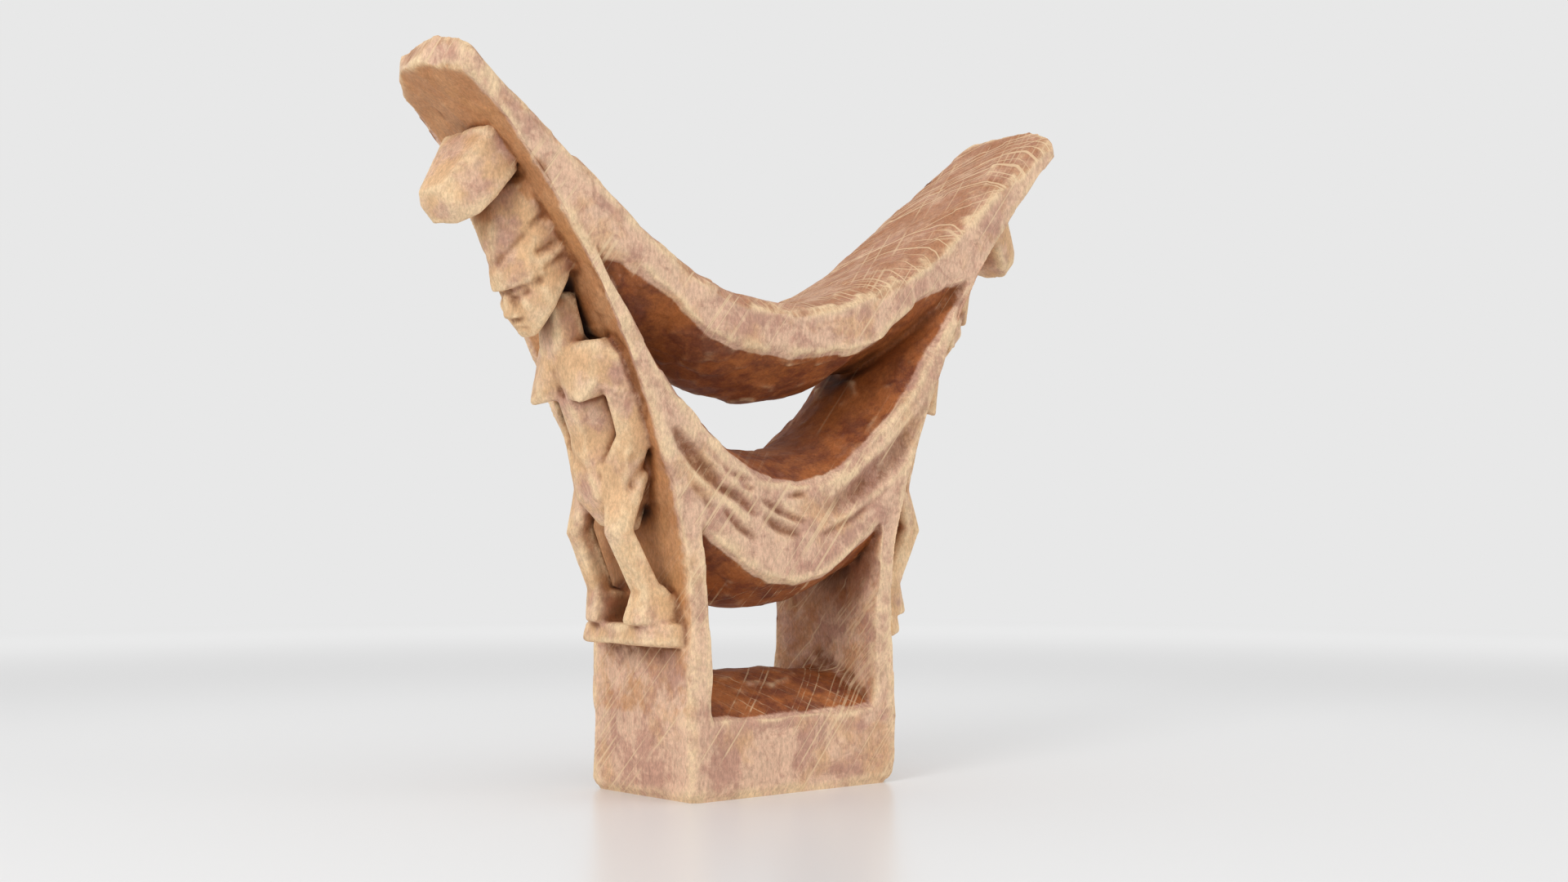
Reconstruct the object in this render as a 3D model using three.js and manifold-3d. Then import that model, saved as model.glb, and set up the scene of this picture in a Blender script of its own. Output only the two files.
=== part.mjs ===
// Two-tier neckrest with two supporting figures, carved from one block of wood.
// Millimetres, +Z up. X runs along the curved rest, Y is its depth, and the
// origin is the middle of the underside. Right-hand parts are drawn at +X and
// the left-hand parts are their mirror images.
import * as THREE from "three";
import { ConvexGeometry } from "three/addons/geometries/ConvexGeometry.js";
import { mergeVertices } from "three/addons/utils/BufferGeometryUtils.js";
import Module from "manifold-3d";

const wasm = await Module();
wasm.setup();

// ---------------------------------------------------------------- driving sizes
const depth = 47; // front to back of the whole board
const kerf = 0.3; // gap left between neighbouring carved parts

// The block that stands on the floor
const footHalf = 38.5; // half width at the floor
const blockFront = 22; // height of its top at the front and back edge
const blockRidge = 11.5; // how far its top swells above that edge at mid-depth
const postCut = 12.5; // where the posts start, above the front edge of the block

// Heights of the openwork, stacked from the block upwards, at the centre line
const lowerWindow = 38.5;
const crescentThickness = 26.5;
const upperWindow = 39;
const saddleThickness = 12.6;

// How far each under or upper side swells into its window at mid-depth
const crescentKeel = 8.8;
const crescentRidge = 11.5;
const saddleKeel = 13.2;
const saddleCrown = 2.2;
const ridgeDepth = 4; // the swell is deepest this far behind mid-depth

// Posts and the flaring arms
const postHalf = 38; // half width over the posts
const postWall = 6.8; // thickness of a post at its foot
const postLean = 3.4; // how much further out a post's inner face is at its top
const crescentEndRise = 17; // crescent's lower edge climbs this much to the post
const flareStart = 50; // height where the outer edge starts to lean out
const cornerReach = 71.6; // half width of the upper window at its corners
const cornerRise = 26; // its corners stand this far above its highest middle
const throatReach = 41; // half width of the same window at mid-depth
const throatRise = 10; // its narrowed corners stand this far above the saddle's keel

// Wing tips
const tipReach = 112.5; // half width over the lower corner of a tip
const tipRise = 54.5; // that corner stands this far above the saddle's middle
const tipNose = 4.5; // how far the end facet sticks out past that corner
const tipPeak = 13; // how far the peak stands above that corner
const tipSetBack = 7.5; // how far the peak lies inside that corner
const tipThinning = 9; // how much a wing thins towards its back edge, at the tip

// Figures, each standing on a plinth against the outer side of a post
const plinthHeight = 42.6;
const plinthThickness = 7;
const plinthReach = 11.5;
const plinthHalfDepth = 16;
const lugDrop = 28; // underside of the lug's end, below the lower tip corner
const lugRootLow = 22; // foot of the lug's root, below the same corner
const lugRootHigh = 9;
const lugReach = 24; // how far the lug's end stands out from the arm
const lugHalfDepth = 11;
const figureOffset = -2; // the figures stand this far forward of mid-depth

// ---------------------------------------------------------------- worked-out sizes
const halfDepth = depth / 2;
const crescentBottom = blockFront + lowerWindow;
const crescentTop = crescentBottom + crescentThickness;
const saddleBottom = crescentTop + upperWindow;
const saddleTop = saddleBottom + saddleThickness;
const cornerHeight = saddleBottom + cornerRise;
const throatHeight = saddleBottom - saddleKeel + throatRise;
const tipHeight = saddleTop + tipRise;
const postTop = crescentBottom + crescentEndRise;
const postInner = postHalf - postWall;
const plinthTop = plinthHeight + plinthThickness;
const lugUnderside = tipHeight - lugDrop;
const figureHeight = lugUnderside - plinthTop;
const openTop = tipHeight + tipPeak * 2;
const curveSteps = 12;

// ---------------------------------------------------------------- helpers
// Every long edge of the carving leaves its start square to one axis and bends
// away steadily, so one power curve serves them all.
function bend(start, end, power, steps = curveSteps) {
  const points = [];
  for (let i = 0; i <= steps; i += 1) {
    const share = i / steps;
    const x = start[0] + (end[0] - start[0]) * share;
    const z = start[1] + (end[1] - start[1]) * share ** power;
    points.push([x, z]);
  }
  return points;
}

const outerPower = 1.78;
function outerEdge(z) {
  if (z <= flareStart) return postHalf + (footHalf - postHalf) * (1 - z / flareStart);
  const share = (z - flareStart) / (tipHeight - flareStart);
  return postHalf + (tipReach - postHalf) * share ** outerPower;
}

function toSolid(geometry) {
  const bare = geometry.clone();
  bare.deleteAttribute("normal");
  bare.deleteAttribute("uv");
  const merged = mergeVertices(bare, 1e-4);
  return new wasm.Manifold(new wasm.Mesh({
    numProp: 3,
    vertProperties: new Float32Array(merged.attributes.position.array),
    triVerts: new Uint32Array(merged.index.array),
  }));
}

function toMesh(solid, name, colour) {
  const cut = solid.getMesh();
  const geometry = new THREE.BufferGeometry();
  geometry.setAttribute("position", new THREE.Float32BufferAttribute(cut.vertProperties, 3));
  geometry.setIndex(Array.from(cut.triVerts));
  geometry.computeVertexNormals();
  const material = new THREE.MeshStandardMaterial({ color: colour, roughness: 0.75, metalness: 0 });
  const mesh = new THREE.Mesh(geometry, material);
  mesh.name = name;
  return mesh;
}

// A solid whose outline in X and Z changes from one depth to the next. Every
// layer holds the same number of points.
function layered(layers) {
  const count = layers[0].outline.length;
  const positions = [];
  for (const layer of layers) {
    for (const [x, z] of layer.outline) positions.push(x, layer.y, z);
  }
  const index = [];
  for (let k = 0; k < layers.length - 1; k += 1) {
    for (let i = 0; i < count; i += 1) {
      const a = k * count + i;
      const b = k * count + ((i + 1) % count);
      index.push(a, b + count, b, a, a + count, b + count);
    }
  }
  const capOf = (layer) => THREE.ShapeUtils.triangulateShape(
    layer.outline.map(([x, z]) => new THREE.Vector2(x, z)), []);
  const last = (layers.length - 1) * count;
  for (const [a, b, c] of capOf(layers[0])) index.push(a, b, c);
  for (const [a, b, c] of capOf(layers[layers.length - 1])) {
    index.push(last + a, last + c, last + b);
  }
  const geometry = new THREE.BufferGeometry();
  geometry.setAttribute("position", new THREE.Float32BufferAttribute(positions, 3));
  geometry.setIndex(index);
  return toSolid(geometry);
}

const mirrored = (points) => points.map(([x, z]) => [-x, z]);

// A closed outline, symmetric about the centre line: the lower run goes from
// the centre out to the right, and the upper run comes back over the top.
function bothSides(lower, upper) {
  const right = [...lower, ...upper.slice().reverse()];
  const left = mirrored([...lower.slice(1), ...upper.slice(1).reverse()]).reverse();
  return [...right, ...left];
}

const mixRuns = (a, b, share) => a.map(([x, z], i) => [
  x + (b[i][0] - x) * share,
  z + (b[i][1] - z) * share,
]);

// ---------------------------------------------------------------- the board
// Windows are wide at both faces and narrow at mid-depth, because each bar
// swells into them. The share says how far a layer has narrowed.
const swell = [
  { y: -halfDepth - kerf, share: -0.02 },
  { y: -halfDepth, share: 0 },
  { y: -halfDepth * 0.45, share: 0.62 },
  { y: ridgeDepth, share: 1 },
  { y: halfDepth * 0.6, share: 0.62 },
  { y: halfDepth, share: 0 },
  { y: halfDepth + kerf, share: -0.02 },
];

function windowCutter(faceOutline, throatOutline) {
  return layered(swell.map(({ y, share }) => ({
    y,
    outline: mixRuns(faceOutline, throatOutline, share),
  })));
}

function lowerWindowCutter() {
  const lowerRun = (height) => [[0, height], [postInner / 2, height], [postInner, height - 0.4]];
  const side = (low, high, lean) => [[postInner + lean / 2, (low + high) / 2]];
  const upperRun = (height, endHeight, lean) => bend(
    [0, height], [postInner + lean, endHeight], 1.6, 8);
  const face = bothSides(
    [...lowerRun(blockFront), ...side(blockFront, postTop, postLean)],
    upperRun(crescentBottom, postTop, postLean));
  const throatTop = crescentBottom - crescentKeel;
  const throat = bothSides(
    [...lowerRun(blockFront + blockRidge), ...side(blockFront + blockRidge, throatTop, postLean)],
    upperRun(throatTop, throatTop + crescentKeel, postLean));
  return windowCutter(face, throat);
}

function upperWindowCutter() {
  const face = bothSides(
    bend([0, crescentTop], [cornerReach, cornerHeight], 1.82),
    bend([0, saddleBottom], [cornerReach, cornerHeight + 0.6], 1.35));
  const throat = bothSides(
    bend([0, crescentTop + crescentRidge], [throatReach, throatHeight - 2.5], 2.2),
    bend([0, saddleBottom - saddleKeel], [throatReach, throatHeight], 1.5));
  return windowCutter(face, throat);
}

// Everything above the curved rest is cut away. The rest is crowned from front
// to back, and each wing ends in a blunt peak.
function hollowCutter() {
  const layers = [
    { y: -halfDepth - kerf, crown: 0, drop: 7 },
    { y: -halfDepth, crown: 0, drop: 6.5 },
    { y: -halfDepth * 0.7, crown: 0.75, drop: 1.5 },
    { y: 0, crown: 1, drop: 0 },
    { y: halfDepth * 0.5, crown: 0.75, drop: 1.5 },
    { y: halfDepth, crown: -0.6, drop: 8 },
    { y: halfDepth + kerf, crown: -0.65, drop: 8.5 },
  ];
  const peak = [tipReach - tipSetBack, tipHeight + tipPeak];
  const farSide = tipReach + tipNose * 3;
  return layered(layers.map(({ y, crown, drop }) => {
    const rise = saddleCrown * crown;
    const rest = bend([0, saddleTop + rise], [peak[0] - 4, tipHeight + 1 + rise], 1.6, 14);
    const end = [
      [peak[0], peak[1] - drop],
      [tipReach + tipNose * 0.6, tipHeight + tipPeak * 0.45 - drop * 0.4],
      [farSide, tipHeight + tipPeak * 0.2 - drop * 0.4],
    ];
    return { y, outline: bothSides([...rest, ...end], [[0, openTop], [farSide, openTop]]) };
  }));
}

// The outer shape before the windows are cut. The end facet stands out most at
// mid-depth, and each wing thins towards its back edge.
function boardBlank() {
  const stops = 18;
  const layers = [
    { y: -halfDepth, nose: 0, thin: 0 },
    { y: -halfDepth * 0.6, nose: 0.8, thin: 0 },
    { y: 0, nose: 1, thin: 0 },
    { y: halfDepth, nose: 0, thin: 1 },
  ];
  return layered(layers.map(({ y, nose, thin }) => {
    const rise = [];
    for (let i = 0; i <= stops; i += 1) {
      const z = tipHeight * (i / stops);
      const share = Math.max(0, (z - cornerHeight) / (tipHeight - cornerHeight));
      rise.push([outerEdge(z) - tipThinning * thin * share, z]);
    }
    const reach = tipReach - tipThinning * thin;
    const end = [
      [reach + tipNose * nose, tipHeight + 2.5],
      [reach + tipNose * nose * 0.6, tipHeight + tipPeak * 0.45],
      [reach, openTop],
    ];
    return { y, outline: bothSides([[0, 0], ...rise, ...end], [[0, openTop]]) };
  }));
}

// A thin saw cut, straight through the depth, from one point to another.
function sawCut([x0, z0], [x1, z1]) {
  const run = Math.hypot(x1 - x0, z1 - z0);
  const plate = new THREE.BoxGeometry(run + kerf, depth * 1.4, kerf);
  plate.rotateY(-Math.atan2(z1 - z0, x1 - x0));
  plate.translate((x0 + x1) / 2, 0, (z0 + z1) / 2);
  return toSolid(plate);
}

const postFoot = blockFront + postCut;
const postHead = postTop - 5;
const postInsideHead = postInner + postLean + 2;
const armFoot = [postInsideHead, postHead];
const throatCorner = [throatReach + 1, throatHeight - 0.6];
const windowCorner = [cornerReach, cornerHeight + 0.3];
const wingShare = 0.3;
const wingFoot = [
  throatCorner[0] + (windowCorner[0] - throatCorner[0]) * wingShare,
  throatCorner[1] + (windowCorner[1] - throatCorner[1]) * wingShare,
];

function boardParts() {
  let board = boardBlank()
    .subtract(lowerWindowCutter())
    .subtract(upperWindowCutter())
    .subtract(hollowCutter());
  const outside = tipReach;
  const cuts = [
    [[postInner - 2, postFoot], [footHalf + 6, postFoot]],
    [armFoot, [outside, postHead]],
    [[postInner - 1.2, crescentBottom - crescentKeel], armFoot],
    [armFoot, throatCorner],
    [[throatReach - 4, throatHeight - 4], throatCorner],
    [throatCorner, windowCorner],
    [windowCorner, [outside, cornerHeight + 0.3]],
    [wingFoot, [wingFoot[0] - 14, wingFoot[1] + 40]],
  ];
  for (const [from, to] of cuts) {
    const cut = sawCut(from, to);
    board = board.subtract(cut).subtract(cut.mirror([1, 0, 0]));
  }
  return board.decompose();
}

// ---------------------------------------------------------------- the figures
// A figure part is a set of hulls over rounded lumps. Each lump is placed by its
// height as a share of the figure, how far it stands out from the arm's outer
// side, and its place in depth. The same part can be built slightly larger, to
// cut its neighbours free of it.
function place(share, out) {
  const z = plinthTop + figureHeight * share;
  return [outerEdge(z) + out, z];
}

function lumpPoints({ share, out, y = 0, size }, grow) {
  const [x, z] = place(share, out);
  const ball = mergeVertices(new THREE.IcosahedronGeometry(1, 0).deleteAttribute("uv"), 1e-3);
  const spots = ball.attributes.position;
  const points = [];
  for (let i = 0; i < spots.count; i += 1) {
    points.push(new THREE.Vector3(
      x + spots.getX(i) * (size[0] + grow),
      figureOffset + y + spots.getY(i) * (size[1] + grow),
      z + spots.getZ(i) * (size[2] + grow)));
  }
  return points;
}

const hullOf = (points) => toSolid(new ConvexGeometry(points));

function hulls(groups, grow = 0) {
  const solids = groups.map((lumps) => hullOf(lumps.flatMap((lump) => lumpPoints(lump, grow))));
  return solids.reduce((whole, solid) => whole.add(solid));
}

const lump = (share, out, y, size) => ({ share, out, y, size });

function leg(side) {
  const knee = lump(0.2, 12.3, side * 11, [4.4, 4.2, 4.6]);
  return [
    [lump(0.335, 3.5, side * 7.5, [6.5, 5.5, 6.5]), knee],
    [knee, lump(0.1, 8.5, side * 11.2, [4.2, 3.8, 4])],
    [lump(0.1, 8.5, side * 11.2, [4.2, 3.8, 4]), lump(0.065, 3, side * 11, [4.4, 3.6, 3.4])],
    [lump(0.065, 3, side * 11, [4.4, 3.6, 3.4]), lump(0.022, 10.4, side * 11.8, [2.6, 3.6, 2.3]),
      lump(0.022, -1, side * 10.5, [3.4, 4.2, 2.3])],
  ];
}

function arm(side) {
  const elbow = lump(0.42, 2.5, side * 17.2, [3.6, 3.6, 4.4]);
  return [
    [lump(0.635, 0.8, side * 16.2, [4.4, 4.2, 5]), elbow],
    [elbow, lump(0.325, 8.6, side * 9, [3.2, 3.4, 3.2])],
  ];
}

const breast = (side) => [
  lump(0.6, 4, side * 7.5, [4, 6.5, 5]),
  lump(0.545, 5, side * 7.5, [4, 6, 3]),
  lump(0.535, 12.6, side * 8.2, [1.8, 1.8, 1.8]),
];

const torso = [
  [lump(0.33, 3, 0, [7, 10, 7.5]), lump(0.41, 3.8, 0, [7.2, 9.4, 7])],
  [lump(0.41, 3.8, 0, [7.2, 9.4, 7]), lump(0.5, 3.2, 0, [6.6, 9, 7])],
  [lump(0.5, 3.2, 0, [6.6, 9, 7]), lump(0.6, 2.2, 0, [6.4, 14, 7])],
  [lump(0.6, 2.2, 0, [6.4, 14, 7]), lump(0.655, 0.4, 0, [4.6, 15.5, 3.4])],
  breast(1),
  breast(-1),
];

const nose = [
  lump(0.772, 17.4, 0, [1, 1.4, 1.2]),
  lump(0.722, 18, 0, [1.6, 1.9, 1.1]),
  lump(0.74, 13.5, 0, [2, 2.6, 3]),
];

const ear = (side) => [
  lump(0.87, 4, side * 9.4, [2.4, 1.8, 3]),
  lump(0.81, 3.6, side * 8.8, [2, 1.6, 3]),
];

const head = [
  [lump(0.66, 3.4, 0, [5, 5.6, 3]), lump(0.72, 5, 0, [5, 5.4, 4])],
  [
    lump(0.693, 14, 0, [2.6, 3.4, 2]),
    lump(0.75, 9, 0, [7.5, 7, 4]),
    lump(0.8, 12, 0, [6.6, 7.6, 4.6]),
    lump(0.87, 6, 0, [7, 9, 7]),
  ],
  nose,
  ear(1),
  ear(-1),
];

const cap = [[
  lump(0.85, 13.6, 0, [4.6, 6.4, 2.6]),
  lump(0.945, 3, 0, [5.5, 8.8, 4.6]),
  lump(1.01, 8, 0, [5.5, 5, 4.5]),
]];

function plinth(grow = 0) {
  const points = [];
  for (const y of [-1, 1]) {
    for (const z of [plinthHeight - grow, plinthTop + grow]) {
      points.push(new THREE.Vector3(footHalf - postWall, y * (plinthHalfDepth + grow), z));
      points.push(new THREE.Vector3(
        postHalf + plinthReach + grow, y * (plinthHalfDepth - 2 + grow), z));
    }
  }
  return hullOf(points);
}

function lug(grow = 0) {
  const points = [];
  const low = tipHeight - lugRootLow;
  const high = tipHeight - lugRootHigh;
  const endX = outerEdge(lugUnderside) + lugReach;
  for (const side of [-1, 1]) {
    const corner = (x, half, z) => points.push(
      new THREE.Vector3(x, figureOffset + side * (half + grow), z));
    corner(outerEdge(low) - 6, lugHalfDepth + 1, low - grow);
    corner(outerEdge(high) - 2, lugHalfDepth, high + grow);
    corner(endX - 1, lugHalfDepth - 6, lugUnderside + 2);
    corner(endX - 7, lugHalfDepth - 5, lugUnderside - 7 - grow);
    corner(endX - 5, lugHalfDepth - 2, lugUnderside + 4);
    corner(endX - 12, lugHalfDepth - 2, lugUnderside - 3 - grow);
  }
  return hullOf(points);
}

// The board with its outer sides moved out by the saw gap. It frees the figures
// from the board.
function boardKeepOut() {
  const rise = [];
  const stops = 24;
  for (let i = 0; i <= stops; i += 1) {
    const z = (tipHeight + 1) * (i / stops);
    rise.push([outerEdge(Math.min(z, tipHeight)) + kerf * 1.5, z]);
  }
  const outline = bothSides([[0, 0], ...rise], [[0, openTop], [tipReach, openTop]]);
  return layered([{ y: -halfDepth * 1.5, outline }, { y: halfDepth * 1.5, outline }]);
}

function figureParts() {
  const keepOut = boardKeepOut();
  const recipes = [
    ["plinth", plinth],
    ["lug", lug],
    ["near_leg", (grow) => hulls(leg(-1), grow)],
    ["far_leg", (grow) => hulls(leg(1), grow)],
    ["torso", (grow) => hulls(torso, grow)],
    ["near_arm", (grow) => hulls(arm(-1), grow)],
    ["far_arm", (grow) => hulls(arm(1), grow)],
    ["head", (grow) => hulls(head, grow)],
    ["cap", (grow) => hulls(cap, grow)],
  ];
  return recipes.map(([name, make], order) => {
    let solid = make(0).subtract(keepOut);
    for (let i = 0; i < order; i += 1) solid = solid.subtract(recipes[i][1](kerf));
    const pieces = solid.decompose().sort((a, b) => b.volume() - a.volume());
    return [name, pieces[0]];
  });
}

// ---------------------------------------------------------------- assembly
const mottledWood = 0xc39b7c;
const shadedWood = 0xa9754f;

const neckrest = new THREE.Group();

// A part of the board is known by the place of its middle.
const boardNames = [
  ["base_block", [0, blockFront / 2]],
  ["lower_crescent", [0, (crescentBottom + crescentTop) / 2]],
  ["neck_saddle", [0, saddleTop]],
  ["post", [postHalf - postWall / 2, (postFoot + postHead) / 2]],
  ["arm", [(postHalf + cornerReach) / 2, (postHead + cornerHeight) / 2]],
  ["wing", [(cornerReach + tipReach) / 2 - 6, (cornerHeight + tipHeight) / 2]],
];

const boardPieces = boardParts().map((solid) => {
  const box = solid.boundingBox();
  const middle = [(box.min[0] + box.max[0]) / 2, (box.min[2] + box.max[2]) / 2];
  return { solid, middle };
});

function nearestPiece([x, z]) {
  const distance = ({ middle }) => Math.hypot(middle[0] - x, middle[1] - z);
  return boardPieces.reduce((best, piece) => (distance(piece) < distance(best) ? piece : best)).solid;
}

for (const [name, spot] of boardNames) {
  if (spot[0] === 0) {
    const colour = name === "lower_crescent" ? shadedWood : mottledWood;
    neckrest.add(toMesh(nearestPiece(spot), name, colour));
  } else {
    neckrest.add(toMesh(nearestPiece(spot), `right_${name}`, mottledWood));
    neckrest.add(toMesh(nearestPiece([-spot[0], spot[1]]), `left_${name}`, mottledWood));
  }
}

for (const [name, solid] of figureParts()) {
  neckrest.add(toMesh(solid, `right_${name}`, mottledWood));
  neckrest.add(toMesh(solid.mirror([1, 0, 0]), `left_${name}`, mottledWood));
}

export default neckrest;
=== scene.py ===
# %% [markdown]
# # A carved neckrest with two figures
#
# The real object is one block of pale wood. A carver sawed out the two-tier shape, hollowed the
# windows with an adze and a gouge, cut the two figures free with a knife, and years of use wore
# its edges yellow. This lesson follows the same order: saw the blank, open the windows, rough
# out the figures, make it all one body, carve the fine marks, and only then colour it.
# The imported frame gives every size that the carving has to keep.

# %% Load the frame
import math
import bpy
import bmesh
import numpy as np
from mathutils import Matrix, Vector, kdtree
from mathutils.bvhtree import BVHTree


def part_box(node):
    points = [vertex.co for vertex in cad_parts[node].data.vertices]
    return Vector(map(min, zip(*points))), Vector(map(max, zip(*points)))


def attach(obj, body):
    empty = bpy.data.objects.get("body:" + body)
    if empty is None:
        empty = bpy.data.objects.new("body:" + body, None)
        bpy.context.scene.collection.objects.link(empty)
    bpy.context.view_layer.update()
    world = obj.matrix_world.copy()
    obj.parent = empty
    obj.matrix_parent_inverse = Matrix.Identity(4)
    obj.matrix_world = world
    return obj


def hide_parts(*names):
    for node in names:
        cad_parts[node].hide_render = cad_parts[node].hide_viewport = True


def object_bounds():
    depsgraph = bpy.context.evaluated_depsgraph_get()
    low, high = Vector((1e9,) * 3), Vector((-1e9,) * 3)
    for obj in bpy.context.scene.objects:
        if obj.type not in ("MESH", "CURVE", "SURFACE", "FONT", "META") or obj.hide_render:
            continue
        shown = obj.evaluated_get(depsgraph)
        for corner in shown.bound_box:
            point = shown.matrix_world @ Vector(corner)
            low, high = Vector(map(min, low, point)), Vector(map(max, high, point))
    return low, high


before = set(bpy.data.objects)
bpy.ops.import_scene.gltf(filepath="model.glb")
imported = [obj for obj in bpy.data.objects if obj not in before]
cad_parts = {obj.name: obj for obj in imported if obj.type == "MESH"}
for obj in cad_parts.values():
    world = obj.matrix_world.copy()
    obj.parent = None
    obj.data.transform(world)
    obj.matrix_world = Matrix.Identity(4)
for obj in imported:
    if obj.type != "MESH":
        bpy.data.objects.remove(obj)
cad_low, cad_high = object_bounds()
MM = 0.001
VOXEL = 0.55
print("frame box in mm", [round(v / MM, 1) for v in (cad_high - cad_low)])

# %% [markdown]
# ## Sizes from the frame
#
# A carver measures before cutting. The half depth, the foot, the peak and the tips are read from
# the frame's own boxes, so the carving can't drift from the design. The heights of the openwork
# follow the boxes of the bars on each side of a window.

# %% Driving sizes
half_depth = cad_high.y / MM
peak_height = cad_high.z / MM
tip_nose = cad_high.x / MM
foot_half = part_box("base_block")[1].x / MM
post_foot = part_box("base_block")[1].z / MM + 0.15
plinth_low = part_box("left_plinth")[0].z / MM
plinth_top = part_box("left_plinth")[1].z / MM
crescent_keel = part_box("lower_crescent")[0].z / MM
saddle_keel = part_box("neck_saddle")[0].z / MM
arm_foot_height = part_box("right_arm")[0].z / MM
tip_reach = tip_nose - 4.5
tip_height = peak_height - 13.0
SIDES = {"left": -1, "right": 1}
print("tips reach", round(tip_reach, 1), "and stand", round(tip_height, 1), "mm high")


# %% [markdown]
# ## A curve through a few marks
#
# A carver marks a few points on the board and joins them by eye in one fair sweep. Hand-drawn
# curves could be Bezier objects, but a small interpolation through the marks is easier to sample
# at any height, which the layered cuts below need. A monotone slope keeps it from overshooting.

# %% Fair curves
def fair(marks):
    """Returns a function that runs smoothly through the marks, given as (input, output)."""
    marks = np.array(sorted(marks), float)
    xs, ys = marks[:, 0], marks[:, 1]
    steps = np.diff(ys) / np.diff(xs)
    slopes = np.zeros(len(xs))
    slopes[0], slopes[-1] = steps[0], steps[-1]
    for i in range(1, len(xs) - 1):
        if steps[i - 1] * steps[i] > 0:
            slopes[i] = 2 * steps[i - 1] * steps[i] / (steps[i - 1] + steps[i])

    def curve(x):
        x = np.clip(np.asarray(x, float), xs[0], xs[-1])
        i = np.clip(np.searchsorted(xs, x) - 1, 0, len(xs) - 2)
        width = xs[i + 1] - xs[i]
        t = (x - xs[i]) / width
        return (
            ys[i] * (1 + 2 * t) * (1 - t) ** 2
            + slopes[i] * width * t * (1 - t) ** 2
            + ys[i + 1] * t * t * (3 - 2 * t)
            + slopes[i + 1] * width * t * t * (t - 1)
        )

    return curve


outer_marks = fair([
    (0, foot_half - 0.2), (24, foot_half - 0.4), (44, 37.8), (58, 38.5), (69, 39.9), (82, 43),
    (95, 46.6), (108.6, 52.2), (127, 61.3), (149.4, 74), (169.1, 88.8), (188.8, 107),
    (tip_height, tip_reach - 0.8), (200, tip_nose + 2), (214, tip_nose + 14),
])
rest_marks = fair([
    (0, 138.6), (12.5, 139.7), (26, 143.3), (36, 147.4), (50, 155.2), (61.5, 163), (71.6, 171),
    (80.6, 178.6), (91, 186), (101, 193.4), (108, 199), (114, 204), (130, 217),
])
saddle_edge = fair([(0, 126), (13.5, 127.6), (30, 130.6), (42, 138.2), (52, 145), (71.6, 152.6)])
saddle_ridge = fair([(0, saddle_keel), (20, saddle_keel + 2.4), (33, saddle_keel + 8), (43, 123)])
crescent_edge = fair([
    (0, 87), (9, 88.2), (17, 91), (27, 97.6), (35.5, 104.8), (45, 113.2), (58, 132), (71.6, 151.8),
])
crescent_ridge = fair([(0, 98.4), (11, 99), (22, 103.4), (30, 111), (36, 116.8), (43, 122)])
crescent_foot = fair([(0, 60.8), (9, 62), (15, 64.4), (25, 71), (34.4, 77.6)])
keel_line = fair([(0, crescent_keel), (12, 52.8), (20, 55.2), (30, 58.6), (35.6, 61)])
print("saddle middle", float(rest_marks(0)), "mm, fingers' breadth in the lower window",
      round(float(crescent_foot(0)) - 22, 1), "mm")


# %% [markdown]
# ## Helpers for edit mode
#
# Operators act on whatever is selected, so every helper starts by clearing the selection. The
# layered solid begins as a filled circle whose points are moved onto an outline, and it is then
# extruded again and again through the depth of the block, each layer being nudged onto its own
# outline. That is how a lofted shape is made by hand in edit mode.

# %% Edit-mode helpers
def clear_selection():
    if bpy.context.object and bpy.context.object.mode != "OBJECT":
        bpy.ops.object.mode_set(mode="OBJECT")
    bpy.ops.object.select_all(action="DESELECT")


def use(thing):
    clear_selection()
    thing.select_set(True)
    bpy.context.view_layer.objects.active = thing


def layered(name, layers):
    """A closed solid from (y, outline) layers, whose outlines hold equally many (x, z) points."""
    first_y, first = layers[0]
    clear_selection()
    bpy.ops.mesh.primitive_circle_add(vertices=len(first), radius=1, fill_type="NGON")
    solid = bpy.context.object
    solid.name = name
    for vertex, (x, z) in zip(solid.data.vertices, first):
        vertex.co = (x * MM, first_y * MM, z * MM)
    bpy.ops.object.mode_set(mode="EDIT")
    previous_y, previous = first_y, first
    for y, outline in layers[1:]:
        bpy.ops.mesh.select_all(action="DESELECT")
        shape = bmesh.from_edit_mesh(solid.data)
        face = max(shape.faces, key=lambda f: (len(f.verts), f.calc_center_median().y))
        face.select_set(True)
        bmesh.update_edit_mesh(solid.data)
        step = (y - previous_y) * MM
        bpy.ops.mesh.extrude_region_move(TRANSFORM_OT_translate={"value": (0, step, 0)})
        shape = bmesh.from_edit_mesh(solid.data)
        place = {(round(x * 1e4), round(z * 1e4)): i for i, (x, z) in enumerate(previous)}
        for vertex in (v for v in shape.verts if v.select):
            key = (round(vertex.co.x / MM * 1e4), round(vertex.co.z / MM * 1e4))
            index = place.get(key)
            if index is None:
                gaps = [abs(px - key[0] / 1e4) + abs(pz - key[1] / 1e4) for px, pz in previous]
                index = int(np.argmin(gaps))
            vertex.co = (outline[index][0] * MM, y * MM, outline[index][1] * MM)
        bmesh.update_edit_mesh(solid.data)
        previous_y, previous = y, outline
    bpy.ops.mesh.select_all(action="SELECT")
    bpy.ops.mesh.normals_make_consistent(inside=False)
    bpy.ops.object.mode_set(mode="OBJECT")
    return solid


def cut(target, tool, operation="DIFFERENCE", keep_tool=False):
    """Cuts or joins with the solid-maths boolean and applies it."""
    use(target)
    modifier = target.modifiers.new("cut", "BOOLEAN")
    modifier.operation = operation
    modifier.solver = "MANIFOLD"
    modifier.object = tool
    bpy.ops.object.modifier_apply(modifier=modifier.name)
    if not keep_tool:
        bpy.data.objects.remove(tool)
    return target


def copy_of(thing, name):
    twin = thing.copy()
    twin.data = thing.data.copy()
    twin.name = name
    bpy.context.collection.objects.link(twin)
    return twin


def volume_of(thing):
    shape = bmesh.new()
    shape.from_mesh(thing.data)
    size = shape.calc_volume() / MM**3
    shape.free()
    return size


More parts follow.
